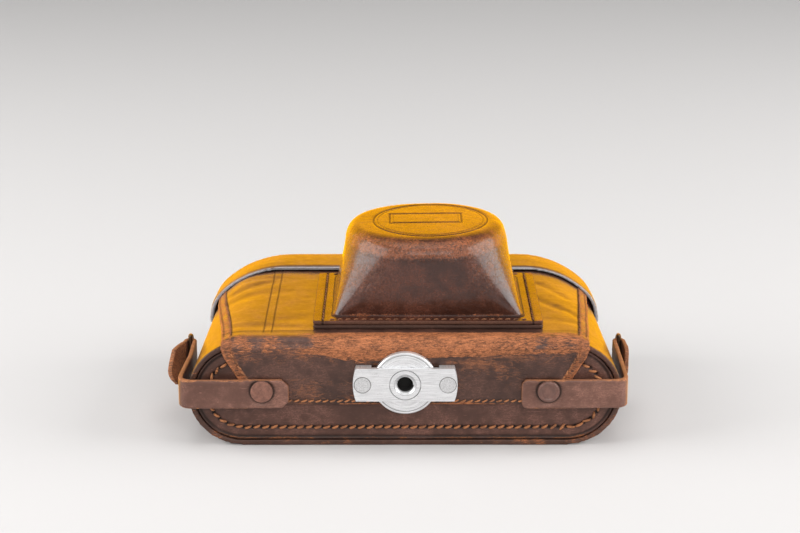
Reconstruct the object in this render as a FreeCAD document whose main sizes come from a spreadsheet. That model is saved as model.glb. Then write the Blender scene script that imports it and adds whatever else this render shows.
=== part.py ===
import FreeCAD, Part
import Sketcher
import math
import os

# Hard leather ever-ready case with a 35 mm camera inside, lying on its back.
# Frame, millimetres: +X right, +Y towards the top of the camera, +Z out of the lens.
# x = 0 is the tripod screw, z = 0 the back of the case, and "d" is the distance from the
# plane of the case's bottom panel, so that Y = y_zero + d.
# A size or place is a number or an expression on the sheet P. Radii and half widths are from
# the part's own axis. Cutting blocks run a little past what they cut.

doc = FreeCAD.newDocument("camera_case")
sheet = doc.addObject("Spreadsheet::Sheet", "P")

SIZES = [
    # case
    ("y_zero", -49.0, "Y of the bottom-panel plane"),
    ("half_w", 79.0, "half width of the case at its bottom"),
    ("depth", 39.8, "front-to-back depth of the shell"),
    ("end_rad", 19.9, "radius of the rounded ends"),
    ("far_half_w", 76.3, "half width of the shell at its top"),
    ("far_crown_x", 45.8, "centre of the crown arc at the top end"),
    ("far_crown_rad", 35.5, "radius of the crown arc at the top end"),
    ("far_side_rad", 8.664, "radius of the side arc at the top end, tangent to the crown arc"),
    ("case_len", 98.0, "bottom panel to top panel"),
    ("wall", 2.0, "shell leather"),
    ("lining", 0.57, "velvet lining"),
    ("lining_gap", 0.03, "gap between shell and lining"),
    ("gap", 0.05, "running gap between separate layers"),
    ("skin", 1.95, "cover leather"),
    ("lip_at", 80.0, "start of the cap"),
    ("flap_end", 83.2, "end of the front panel under the cap"),
    ("cap_out", 3.6, "cap outside, off the shell"),
    ("cap_in", 1.6, "cap inside, off the shell"),
    ("cap_top", 2.1, "thickness of the cap's top panel"),
    ("open_half", 56.0, "half width of the shell's front opening"),
    ("open_from", 10.0, "start of the shell's front opening"),
    ("fold_rad", 5.0, "outer radius of the hinge fold"),
    ("fold_d", 3.0, "centre of the hinge fold"),
    ("fold_z", 36.8, "centre of the hinge fold"),
    ("flap_low", 16.5, "lower edge of the hinge flap"),
    ("flap_half", 66.6, "half width of the flap at the fold"),
    ("stud_z", 23.2, "press stud height"),
    ("socket_d", 20.05, "press socket, beyond the top panel"),
    # lens nose
    ("nose_x", 8.4, "lens axis"),
    ("nose_d", 38.5, "lens axis"),
    ("nose_w", 84.0, "nose plate width"),
    ("nose_from", 8.8, "nose plate near edge"),
    ("nose_to", 67.3, "nose plate far edge"),
    ("nose_base_w", 69.5, "foot of the lens nose"),
    ("nose_base_l", 48.7, "foot of the lens nose"),
    ("nose_base_z", 43.4, "foot of the lens nose"),
    ("nose_round", 30.0, "radius of the round part of the nose"),
    ("nose_turn_z", 66.5, "where the nose becomes round"),
    ("nose_top_z", 74.8, "top of the nose"),
    ("nose_soft", 6.4, "shoulder radius of the nose"),
    ("window_half_w", 33.0, "half width of the lens window in the cover"),
    ("window_half_l", 22.5, "half length of the lens window in the cover"),
    # tripod screw, straps and rings
    ("screw_z", 25.7, "tripod screw height"),
    ("screw_hole", 6.2, "screw hole in the case bottom"),
    ("disc_rad", 11.75, "tripod screw disc"),
    ("thread_rad", 3.175, "1/4 inch tripod thread"),
    ("bridge_half", 18.85, "half length of the bridge"),
    ("bridge_w", 12.5, "width of the bridge"),
    ("bridge_rivet_x", 15.4, "bridge rivets"),
    ("bridge_hole", 1.55, "bridge rivet holes"),
    ("strap_w", 11.0, "strap width"),
    ("strap_low", 15.7, "lower edge of the straps"),
    ("strap_thick", 1.6, "strap leather"),
    ("rivet_x", 51.9, "strap rivets"),
    ("rivet_z", 22.5, "strap rivets"),
    ("rivet_rad", 4.0, "strap rivet caps"),
    ("rivet_hole", 1.3, "strap rivet holes"),
    ("ring_x", 82.0, "strap ring bars"),
    ("ring_d", 39.8, "strap ring bars"),
    ("ring_z", 21.2, "strap ring bars"),
    ("ring_rad", 6.9, "strap ring bow"),
    ("wire_rad", 0.8, "strap ring wire"),
    # camera
    ("body_half", 70.5, "half width of the camera"),
    ("body_back", 3.3, "back of the camera"),
    ("body_thick", 32.0, "thickness of the camera"),
    ("body_from", 6.9, "underside of the camera casting"),
    ("body_to", 66.0, "upper side of the camera casting"),
    ("covering", 0.75, "thickness of the camera's covering and back"),
    ("parting", 9.0, "back of the camera to the edge of its covering"),
    ("bush_hole", 6.05, "hole for the tripod bush"),
    ("spool_x", -54.5, "take-up side"),
    ("cell_x", 54.5, "cassette side"),
    ("chamber_rad", 12.6, "film chambers"),
    ("sprocket_x", -38.0, "film sprocket"),
    ("sprocket_z", 9.5, "film sprocket, from the camera back"),
    ("top_high", 13.8, "height of the top cover above the casting"),
    ("knob_d", 13.9, "foot of the knobs above the casting"),
    ("finder_x", 31.0, "viewfinder axis"),
    ("finder_d", 7.2, "viewfinder axis above the casting"),
    ("round_window_x", -8.0, "round front window"),
    ("release_x", -32.0, "release button"),
    ("release_z", 22.0, "release button, from the camera back"),
    ("dial_x", -22.0, "speed dial"),
    ("dial_z", 12.0, "speed dial, from the camera back"),
]
for row, (alias, value, note) in enumerate(SIZES, start=1):
    sheet.set(f"A{row}", note)
    sheet.set(f"B{row}", str(value))
    sheet.setAlias(f"B{row}", alias)
doc.recompute()
SIZE = {alias: value for alias, value, note in SIZES}

REACH_X = 100  # cutting blocks span the case from -REACH_X to REACH_X
REACH_Z = 60   # and run forward to here
PICK_TOL = 1e-3

TO_Y = FreeCAD.Rotation(FreeCAD.Vector(1, 0, 0), -90)
TO_X = FreeCAD.Rotation(FreeCAD.Vector(0, 1, 0), 90)
STAND_XZ = FreeCAD.Rotation(FreeCAD.Vector(1, 0, 0), 90)
ROD_TURNS = {"X": TO_X, "Y": TO_Y, "Z": FreeCAD.Rotation()}
UP = FreeCAD.Vector(0, 0, 1)

PIECES = []
made = 0


# ------------------------------------------------------------------ expressions and solids
def value_of(expr):
    """Number that an expression of sheet sizes, + - * / and brackets comes to."""
    text = str(expr).replace("P.", "")
    for sign in "+-*/()":
        text = text.replace(sign, f" {sign} ")
    tokens = text.split()[::-1]

    def factor():
        token = tokens.pop()
        if token == "-":
            return -factor()
        if token == "(":
            inside = total()
            tokens.pop()
            return inside
        return SIZE[token] if token in SIZE else float(token)

    def product():
        result = factor()
        while tokens and tokens[-1] in ("*", "/"):
            if tokens.pop() == "*":
                result *= factor()
            else:
                result /= factor()
        return result

    def total():
        result = product()
        while tokens and tokens[-1] in ("+", "-"):
            if tokens.pop() == "+":
                result += product()
            else:
                result -= product()
        return result

    return total()


def add(kind, hint):
    global made
    made += 1
    return doc.addObject(kind, f"{hint}_{made}")


def place(obj, x, d, z, turn=None):
    if turn is not None:
        obj.Placement = FreeCAD.Placement(FreeCAD.Vector(0, 0, 0), turn)
    obj.setExpression("Placement.Base.x", str(x))
    obj.setExpression("Placement.Base.y", f"P.y_zero + ({d})")
    obj.setExpression("Placement.Base.z", str(z))
    return obj


def box(x0, x1, d0, d1, z0, z1):
    block = add("Part::Box", "Box")
    block.setExpression("Length", f"({x1}) - ({x0})")
    block.setExpression("Width", f"({d1}) - ({d0})")
    block.setExpression("Height", f"({z1}) - ({z0})")
    return place(block, x0, d0, z0)


def across(d0, d1, z0, z1=REACH_Z):
    """Block over the full width of the case."""
    return box(-REACH_X, REACH_X, d0, d1, z0, z1)


def lens_box(half_w, half_l, z0, z1):
    """Block centred on the lens axis."""
    return box(f"P.nose_x - {half_w}", f"P.nose_x + {half_w}",
               f"P.nose_d - {half_l}", f"P.nose_d + {half_l}", z0, z1)


def rod(axis, x, d, z, radius, length):
    cylinder = add("Part::Cylinder", "Rod")
    cylinder.setExpression("Radius", str(radius))
    cylinder.setExpression("Height", str(length))
    return place(cylinder, x, d, z, ROD_TURNS[axis])


def lens_rod(z, radius, length):
    return rod("Z", "P.nose_x", "P.nose_d", z, radius, length)


def fuse(*items):
    union = add("Part::MultiFuse", "Fuse")
    union.Shapes = list(items)
    return union


def common(*items):
    overlap = add("Part::MultiCommon", "Common")
    overlap.Shapes = list(items)
    return overlap


def cut(base, *tools):
    rest = add("Part::Cut", "Cut")
    rest.Base = base
    rest.Tool = tools[0] if len(tools) == 1 else fuse(*tools)
    return rest


def both(make):
    """The same thing on the right (side 1) and on the left (side -1)."""
    return fuse(make(1), make(-1))


def soften(solid, radius, pick):
    """Round the edges chosen by pick(centre of the edge, edge)."""
    doc.recompute()
    fillet = add("Part::Fillet", "Round")
    fillet.Base = solid
    fillet.Edges = [(i + 1, radius, radius) for i, edge in enumerate(solid.Shape.Edges)
                    if pick(edge.CenterOfMass, edge)]
    return fillet


def rounded_plate(plate, radius, thickness):
    """Round the four edges that run through the plate along Z."""
    return soften(plate, radius,
                  lambda centre, edge: abs(edge.BoundBox.ZLength - thickness) < PICK_TOL)


def piece(name, obj):
    obj.Label = name
    PIECES.append((name, obj))
    return obj


# ------------------------------------------------------------------ sketched solids
def drive(sketch, kind, *refs, expr):
    """Dimension a sketch and tie the dimension to the sheet."""
    index = sketch.addConstraint(Sketcher.Constraint(kind, *refs, value_of(expr)))
    sketch.setExpression(f"Constraints[{index}]", str(expr))


def body_sketch(body, role, name):
    sketch = body.newObject("Sketcher::SketchObject", name)
    plane = [feature for feature in body.Origin.OriginFeatures if feature.Role == role][0]
    sketch.AttachmentSupport = (plane, "")
    sketch.MapMode = "FlatFace"
    return sketch


def add_line(sketch, start, stop):
    ends = [FreeCAD.Vector(point[0], point[1], 0) for point in (start, stop)]
    return sketch.addGeometry(Part.LineSegment(*ends), False)


def add_circle(sketch, x, y, radius):
    return sketch.addGeometry(Part.Circle(FreeCAD.Vector(x, y, 0), UP, radius), False)


def add_arc(sketch, x, y, radius, start, stop):
    circle = Part.Circle(FreeCAD.Vector(x, y, 0), UP, radius)
    return sketch.addGeometry(Part.ArcOfCircle(circle, start, stop), False)


def close_loop(sketch, count):
    for i in range(count):
        sketch.addConstraint(Sketcher.Constraint("Coincident", i, 2, (i + 1) % count, 1))


def polygon(sketch, points):
    """Closed polygon; every corner is tied to the sheet by its two coordinates."""
    values = [(value_of(x), value_of(y)) for x, y in points]
    count = len(values)
    for i in range(count):
        add_line(sketch, values[i], values[(i + 1) % count])
    close_loop(sketch, count)
    for i in range(count):
        for kind, axis, value, expr in (("DistanceX", -2, values[i][0], points[i][0]),
                                        ("DistanceY", -1, values[i][1], points[i][1])):
            if abs(value) < 1e-9:
                sketch.addConstraint(Sketcher.Constraint("PointOnObject", i, 1, axis))
            else:
                drive(sketch, kind, -1, 1, i, 1, expr=expr)


def prism(name, role, points, length):
    body = doc.addObject("PartDesign::Body", name)
    sketch = body_sketch(body, role, name + "Outline")
    polygon(sketch, points)
    pad = body.newObject("PartDesign::Pad", name + "Pad")
    pad.Profile = sketch
    pad.Length = length
    body.Tip = pad
    return body


def turned_body(name, axis, spot, profile):
    """Turned part at spot (x, d, z); profile is (radius, distance along the axis)."""
    body = doc.addObject("PartDesign::Body", "Turned_" + name)
    sketch = body_sketch(body, "XY_Plane" if axis == "Y" else "XZ_Plane", "Profile_" + name)
    polygon(sketch, profile)
    revolution = body.newObject("PartDesign::Revolution", "Turn_" + name)
    revolution.Profile = sketch
    revolution.ReferenceAxis = (sketch, ["V_Axis"])
    revolution.Angle = 360
    body.Tip = revolution
    return place(body, *spot)


def turned(name, axis, spot, profile):
    return piece(name, turned_body(name, axis, spot, profile))


def knurled(name, axis, spot, profile, knurl, ring_rad, groove_rad, start, length, count):
    """Turned part with round-bottomed grooves, centred on ring_rad, cut along its axis."""
    body = turned_body(name, axis, spot, profile)
    doc.recompute()
    sketch = body_sketch(body, "XZ_Plane" if axis == "Y" else "XY_Plane", "Knurl_" + knurl)
    shift = FreeCAD.Vector(0, 0, -start if axis == "Y" else start)
    sketch.AttachmentOffset = FreeCAD.Placement(shift, FreeCAD.Rotation())
    add_circle(sketch, ring_rad, 0, groove_rad)
    sketch.addConstraint(Sketcher.Constraint("PointOnObject", 0, 3, -1))
    drive(sketch, "DistanceX", -1, 1, 0, 3, expr=ring_rad)
    drive(sketch, "Radius", 0, expr=groove_rad)
    uncut_volume = body.Shape.Volume
    pocket = body.newObject("PartDesign::Pocket", "KnurlCut_" + knurl)
    pocket.Profile = sketch
    pocket.Length = length
    body.Tip = pocket
    doc.recompute()
    # the pocket may point away from the part, depending on the sketch plane
    if body.Shape.isNull() or uncut_volume - body.Shape.Volume < 1e-4:
        pocket.Reversed = True
        doc.recompute()
    pattern = body.newObject("PartDesign::PolarPattern", "KnurlTurn_" + knurl)
    pattern.Originals = [pocket]
    pattern.Axis = (sketch, ["N_Axis"])
    pattern.Angle = 360
    pattern.Occurrences = count
    body.Tip = pattern
    return piece(name, body)


# ------------------------------------------------------------------ case sections
def outline(far, offset):
    """Closed cross-section of the case, moved out by offset: flat front and back, rounded
    ends; the top end of the case has softer, more sloping front corners."""
    sketch = add("Sketcher::SketchObject", "Outline")
    grow = value_of(offset)
    half_width = "P.far_half_w" if far else "P.half_w"
    # each arc: centre x, centre z, radius, all before the offset
    low = (half_width + " - P.end_rad", "P.end_rad", "P.end_rad")
    if far:
        crown = ("P.far_crown_x", "P.depth - P.far_crown_rad", "P.far_crown_rad")
        flank = (half_width + " - P.far_side_rad", "P.end_rad", "P.far_side_rad")
        crown_at, flank_at = ([value_of(expr) for expr in arc] for arc in (crown, flank))
        joint = math.atan2(flank_at[1] - crown_at[1], flank_at[0] - crown_at[0])
    else:
        crown = flank = low
        joint = math.radians(40)
    quarter = math.pi / 2
    ends = []

    def point(arc, angle, side):
        x, z, radius = (value_of(expr) for expr in arc)
        radius += grow
        return side * (x + radius * math.cos(angle)), z + radius * math.sin(angle)

    def flat(arc, angle, side):
        """Line from one side across to the same point of the other."""
        line = add_line(sketch, point(arc, angle, side), point(arc, angle, -side))
        ends.append((line, 1, 2))

    def bend(arc, start, stop, side, sized=False):
        x, z, radius = arc
        if side < 0:
            start, stop = math.pi - start, math.pi - stop
        edge = add_arc(sketch, side * value_of(x), value_of(z), value_of(radius) + grow,
                       min(start, stop), max(start, stop))
        ends.append((edge, 1, 2) if start < stop else (edge, 2, 1))
        if sized:
            drive(sketch, "Radius", edge, expr=f"{radius} + ({offset})")
        drive(sketch, "DistanceX", -1, 1, edge, 3, expr=f"{'-' if side < 0 else ''}({x})")
        drive(sketch, "DistanceY", -1, 1, edge, 3, expr=z)

    # only the crown arcs carry a radius, the others follow their neighbours
    flat(crown, quarter, -1)
    bend(crown, quarter, joint, 1, sized=True)
    bend(flank, joint, 0.0, 1)
    bend(low, 0.0, -quarter, 1)
    flat(low, -quarter, 1)
    bend(low, -quarter, 0.0, -1)
    bend(flank, 0.0, joint, -1)
    bend(crown, joint, quarter, -1, sized=True)
    for i, (edge, _, last) in enumerate(ends):
        next_edge, first, _ = ends[(i + 1) % len(ends)]
        sketch.addConstraint(Sketcher.Constraint("Coincident", edge, last, next_edge, first))
    return sketch


def hull(offset):
    """The whole outer form of the case from bottom to top, moved out by offset."""
    near, far = outline(False, offset), outline(True, offset)
    place(near, 0, 0, 0, STAND_XZ)
    place(far, 0, "P.case_len", 0, STAND_XZ)
    loft = add("Part::Loft", "Hull")
    loft.Sections = [near, far]
    loft.Solid = True
    loft.Ruled = True
    return loft


def slab(offset, d0, d1):
    """A straight length of the bottom section, moved out by offset."""
    sketch = outline(False, offset)
    place(sketch, 0, d1, 0, STAND_XZ)
    extrusion = add("Part::Extrusion", "Slab")
    extrusion.Base = sketch
    extrusion.DirMode = "Custom"
    extrusion.Dir = FreeCAD.Vector(0, -1, 0)
    extrusion.setExpression("LengthFwd", f"({d1}) - ({d0})")
    extrusion.Solid = True
    return extrusion


def stadium_plate(name, half, z0, z1, d0, d1, holes):
    """Round-ended plate lying across the bottom of the case; holes are (x, z, radius)."""
    body = doc.addObject("PartDesign::Body", "Plate_" + name)
    sketch = body_sketch(body, "XZ_Plane", "Slot_" + name)
    low, high = value_of(z0), value_of(z1)
    radius, mid = (high - low) / 2, (low + high) / 2
    end_x = value_of(half) - radius
    quarter = math.pi / 2
    add_line(sketch, (-end_x, high), (end_x, high))
    add_arc(sketch, end_x, mid, radius, -quarter, quarter)
    add_line(sketch, (end_x, low), (-end_x, low))
    add_arc(sketch, -end_x, mid, radius, quarter, 3 * quarter)
    for refs in ((0, 2, 1, 2), (1, 1, 2, 1), (2, 2, 3, 2), (3, 1, 0, 1)):
        sketch.addConstraint(Sketcher.Constraint("Tangent", *refs))
    radius_expr = f"(({z1}) - ({z0})) / 2"
    drive(sketch, "Radius", 1, expr=radius_expr)
    for arc, sign in ((1, ""), (3, "-")):
        drive(sketch, "DistanceX", -1, 1, arc, 3, expr=f"{sign}(({half}) - {radius_expr})")
        drive(sketch, "DistanceY", -1, 1, arc, 3, expr=f"(({z0}) + ({z1})) / 2")
    pad = body.newObject("PartDesign::Pad", "Pad_" + name)
    pad.Profile = sketch
    pad.setExpression("Length", f"({d1}) - ({d0})")
    body.Tip = pad
    doc.recompute()
    bores = body_sketch(body, "XZ_Plane", "Holes_" + name)
    for i, (x, z, hole_rad) in enumerate(holes):
        add_circle(bores, value_of(x), value_of(z), value_of(hole_rad))
        drive(bores, "Radius", i, expr=hole_rad)
        if abs(value_of(x)) < 1e-9:
            bores.addConstraint(Sketcher.Constraint("PointOnObject", i, 3, -2))
        else:
            drive(bores, "DistanceX", -1, 1, i, 3, expr=x)
        drive(bores, "DistanceY", -1, 1, i, 3, expr=z)
    pocket = body.newObject("PartDesign::Pocket", "Bored_" + name)
    pocket.Profile = bores
    pocket.Type = "ThroughAll"
    pocket.Midplane = True
    body.Tip = pocket
    place(body, 0, d1, 0)
    return piece(name, body)


# ------------------------------------------------------------------ leather case
CASE_END = "P.case_len + 1"  # where cutters end beyond the top panel

# back shell: round-ended tube; the front is open for the lens, the front half stops at the
# cap and only the back wall reaches the top end
shell = cut(
    hull("0.02"),
    hull("-P.wall"),
    across("P.lip_at", CASE_END, "P.end_rad - 0.1"),
    across("P.case_len - 2.4", CASE_END, "P.wall + 0.05"),
    box("-P.open_half", "P.open_half", "P.open_from", "P.case_len", 30, REACH_Z),
    # room for the hinge fold at the front lower edge
    cut(
        box("-P.flap_half - 1", "P.flap_half + 1", -1, "P.fold_d", "P.fold_z", REACH_Z),
        rod("X", "-P.flap_half - 2", "P.fold_d", "P.fold_z", "P.fold_rad - P.skin - 0.1",
            "2 * P.flap_half + 4"),
    ),
)
# the back is dressed flat so that the case lies still on it
piece("back_shell", common(shell, across(-1, CASE_END, 0)))

# shell lining: clear of the bottom panel, the cap and the front opening
lining_out = hull("-P.wall - P.lining_gap")
lining_in = hull("-P.wall - P.lining_gap - P.lining")
piece("shell_lining", cut(
    common(lining_out, across(4.1, "P.case_len - 3", -5)),
    lining_in,
    across("P.lip_at - 1", CASE_END, "P.end_rad - 0.6"),
    box("-P.open_half - 0.5", "P.open_half + 0.5", "P.open_from + 0.5", "P.case_len",
        30, REACH_Z),
))

# bottom panel and its lining; the hinge flap shares the panel's holes (x, z, radius)
PANEL_HOLES = [
    (0, "P.screw_z", "P.screw_hole"),
    ("P.rivet_x", "P.rivet_z", "P.rivet_hole"),
    ("-P.rivet_x", "P.rivet_z", "P.rivet_hole"),
    ("P.bridge_rivet_x", "P.screw_z", "P.bridge_hole"),
    ("-P.bridge_rivet_x", "P.screw_z", "P.bridge_hole"),
]
stadium_plate("bottom_panel", "P.half_w - P.wall - 0.35", "P.wall + 0.25",
              "P.depth - P.wall - 0.25", 0.25, 2.75, PANEL_HOLES)
stadium_plate("bottom_lining", "P.half_w - P.wall - 1.2", "P.wall + 0.95",
              "P.depth - P.wall - 0.95", 3.45, 4.0, [(0, "P.screw_z", 3.6)])

# hinge flap: lies under the bottom panel and turns over the fold to the front
fold = cut(
    common(
        rod("X", "-P.flap_half", "P.fold_d", "P.fold_z", "P.fold_rad", "2 * P.flap_half"),
        box("-P.flap_half", "P.flap_half", -3, "P.fold_d", "P.fold_z", REACH_Z),
    ),
    rod("X", "-P.flap_half - 1", "P.fold_d", "P.fold_z", "P.fold_rad - P.skin",
        "2 * P.flap_half + 2"),
)
# flap seen from below (x, z): bevelled corners at the back, straight sides at the fold
flap_plan = prism("FlapPlan", "XZ_Plane", [
    (-52, "P.flap_low"),
    (52, "P.flap_low"),
    (57.5, "P.flap_low + 5"),
    ("P.flap_half - 1", "P.fold_z - 2"),
    ("P.flap_half - 0.02", "P.fold_z + 1"),
    ("P.flap_half - 0.02", 50),
    ("-P.flap_half + 0.02", 50),
    ("-P.flap_half + 0.02", "P.fold_z + 1"),
    ("-P.flap_half + 1", "P.fold_z - 2"),
    (-57.5, "P.flap_low + 5"),
], 12)
place(flap_plan, 0, 6, 0)
flap = common(
    fuse(fold, box("-P.flap_half", "P.flap_half", "-P.skin - P.gap", "-P.gap",
                   "P.flap_low", "P.fold_z")),
    flap_plan,
    slab("P.gap + P.skin", -4, "P.fold_d"),
)
piece("hinge_flap", cut(
    flap,
    slab("P.gap", "-P.gap", "P.fold_d + 1"),
    *[rod("Y", x, -5, z, radius, 8) for x, z, radius in PANEL_HOLES],
))


def lens_window(z0):
    return lens_box("P.window_half_w", "P.window_half_l", z0, REACH_Z)


# front cover: panel wrapped on the rounded ends, widening from the fold (x, d) to the cap
cover_plan = prism("CoverPlan", "XY_Plane", [
    ("-P.flap_half", "P.fold_d + 0.05"),
    ("P.flap_half", "P.fold_d + 0.05"),
    ("P.flap_half + 7", "P.flap_end"),
    ("-P.flap_half - 7", "P.flap_end"),
], 40)
place(cover_plan, 0, 0, 20)
cover_hole = lens_window(30)
piece("front_cover", cut(common(hull("P.gap + P.skin"), cover_plan), hull("P.gap"), cover_hole))
piece("cover_lining", cut(
    common(hull("-P.gap"), box("-P.open_half + 2", "P.open_half - 2", "P.open_from + 2",
                               "P.lip_at - 2", 30, REACH_Z)),
    hull("-P.gap - P.lining"),
    lens_window(30),
))

# ------------------------------------------------------------------ lens nose
BACKING_THICK = 1.5
FLANGE_THICK = 1.6
PLATE_CORNER_RAD = 1.2
NOSE_WALL = 2.0
NOSE_LINING_OUT = NOSE_WALL + 0.1  # lining faces, in from the outside of the nose
NOSE_LINING_IN = NOSE_WALL + 0.7


def nose_plate(z0, thickness):
    plate = box("P.nose_x - P.nose_w / 2", "P.nose_x + P.nose_w / 2", "P.nose_from",
                "P.nose_to", z0, f"{z0} + {thickness}")
    return rounded_plate(plate, PLATE_CORNER_RAD, thickness)


def nose_form(inset, z0):
    """Rectangular foot at z0 drawn into a round drum, moved in by inset all over."""
    width, length = f"P.nose_base_w - 2 * {inset}", f"P.nose_base_l - 2 * {inset}"
    foot = add("Sketcher::SketchObject", "Foot")
    half_w, half_l = value_of(width) / 2, value_of(length) / 2
    corners = [(-half_w, -half_l), (half_w, -half_l), (half_w, half_l), (-half_w, half_l)]
    for i in range(4):
        add_line(foot, corners[i], corners[(i + 1) % 4])
    for i, (x, y) in enumerate(corners):
        foot.addConstraint(Sketcher.Constraint("Coincident", i, 2, (i + 1) % 4, 1))
        for kind, value, full in (("DistanceX", x, width), ("DistanceY", y, length)):
            sign = "-" if value < 0 else ""
            drive(foot, kind, -1, 1, i, 1, expr=f"{sign}({full}) / 2")
    place(foot, "P.nose_x", "P.nose_d - 0.4", z0)

    radius = f"P.nose_round - {inset}"
    circle = add("Sketcher::SketchObject", "Ring")
    # four arcs, so that each corner of the foot meets an arc end
    for i in range(4):
        start = math.radians(-135 + 90 * i)
        add_arc(circle, 0, 0, value_of(radius), start, start + math.pi / 2)
        if i == 0:
            drive(circle, "Radius", i, expr=radius)
        if i < 3:
            circle.addConstraint(Sketcher.Constraint("Coincident", i, 3, -1, 1))
    close_loop(circle, 4)
    place(circle, "P.nose_x", "P.nose_d", "P.nose_turn_z")

    loft = add("Part::Loft", "Drawn")
    loft.Sections = [foot, circle]
    loft.Solid = True
    loft.Ruled = True
    top = f"P.nose_top_z - {inset}"
    drum = lens_rod("P.nose_turn_z", radius, f"({top}) - P.nose_turn_z")
    dome = soften(drum, SIZE["nose_soft"] - inset,
                  lambda centre, edge: centre.z > value_of(top) - 0.01)
    return fuse(loft, dome)


# backing plate behind the flange
piece("nose_backing", cut(nose_plate(41.85, BACKING_THICK), lens_window(40)))

# flange and nose, with a fine ring groove in the top face
flange = nose_plate("P.nose_base_z", FLANGE_THICK)
nose_out = nose_form(0, "P.nose_base_z")
nose_in = nose_form(NOSE_WALL, "P.nose_base_z")
ring_groove = cut(
    lens_rod("P.nose_top_z - 0.35", 21.3, 1),
    lens_rod("P.nose_top_z - 0.40", 20.7, 1.2),
)
piece("lens_nose", cut(fuse(flange, nose_out), nose_in, ring_groove))
piece("nose_lining", cut(
    nose_form(NOSE_LINING_OUT, "P.nose_base_z + 0.1"),
    nose_form(NOSE_LINING_IN, "P.nose_base_z + 0.1"),
))

# ------------------------------------------------------------------ cap and closure
# cap over the top of the camera: walls on the front half, with a foot on the back half
cap_walls = cut(
    common(hull("P.cap_out"), across("P.lip_at", "P.case_len", "P.end_rad + 0.1")),
    common(hull("P.cap_in"), across("P.lip_at - 1", "P.case_len - P.cap_top", 0)),
    common(hull("P.gap + P.skin + 0.1"), across("P.lip_at - 1", "P.flap_end + 0.05", 0)),
)
cap_foot = common(hull("-0.1"), across("P.case_len - P.cap_top", "P.case_len", 3.6,
                                       "P.end_rad + 0.2"))
piece("top_cap", cut(fuse(cap_walls, cap_foot),
                     rod("Y", 0, "P.case_len - 5", "P.stud_z", 1.3, 8)))
piece("cap_lining", cut(
    common(hull("P.cap_in - 0.05"), across("P.flap_end + 0.1", "P.case_len - P.cap_top - 0.05",
                                           "P.end_rad + 0.4")),
    common(hull("P.cap_in - 0.05 - P.lining"), across("P.flap_end", "P.case_len - 2.75", 0)),
    rod("Y", 0, "P.case_len - 5", "P.stud_z", 3.1, 8),
))

# press stud on the cap and the tongue that closes on it
turned("snap_stud", "Y", (0, "P.case_len", "P.stud_z"), [
    (0, -2.8), (2.9, -2.8), (2.9, -2.35), (0.9, -2.35), (0.9, 0.02), (2.9, 0.02),
    (2.9, 0.32), (1.4, 0.32), (1.4, 1.2), (1.7, 1.5), (1.5, 1.9), (0, 1.9),
])
SOCKET_D = "P.case_len + P.socket_d"
tongue_plate = soften(
    box(-11, 11, "P.case_len + 0.2", "P.case_len + 31.2", 1.4, 3.2), 8,
    lambda centre, edge: edge.BoundBox.ZLength > 1.7
    and centre.y > SIZE["y_zero"] + SIZE["case_len"] + 20)
piece("closure_tongue", cut(tongue_plate, rod("Z", 0, SOCKET_D, 0, 2.65, 6)))
turned("snap_socket", "Z", (0, SOCKET_D, 0), [
    (0, 0.2), (4.9, 0.2), (5.4, 0.6), (5.4, 1.36), (2.55, 1.36), (2.55, 3.24),
    (4.2, 3.24), (4.2, 3.5), (2.15, 3.5), (2.15, 1.5), (0, 1.5),
])

# ------------------------------------------------------------------ straps
STRAP_D = -2.9                 # centre line of the run under the case bottom
STRAP_START = (42.2, STRAP_D)
CORNER_BEND = 4.0              # centre-line radius round the case's corner
RING_BEND = 1.7                # centre-line radius round the ring bar
TIP_CUT = 2.6                  # size of the rounded or bevelled strap tips


def arc_points(x, d, radius, start, stop, steps):
    angles = [math.radians(start + (stop - start) * i / steps) for i in range(steps + 1)]
    return [(x + radius * math.cos(angle), d + radius * math.sin(angle)) for angle in angles]


def strap_run(corner_x):
    """Centre line (x, d) under the bottom, round the corner, up the side and over the ring."""
    corner = arc_points(corner_x, STRAP_D + CORNER_BEND, CORNER_BEND, -90, 0, 6)
    return ([STRAP_START, (corner_x, STRAP_D)] + corner[1:]
            + [(SIZE["ring_x"] - RING_BEND, 24.0)]
            + arc_points(SIZE["ring_x"], SIZE["ring_d"], RING_BEND, 180, 0, 8))


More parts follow.
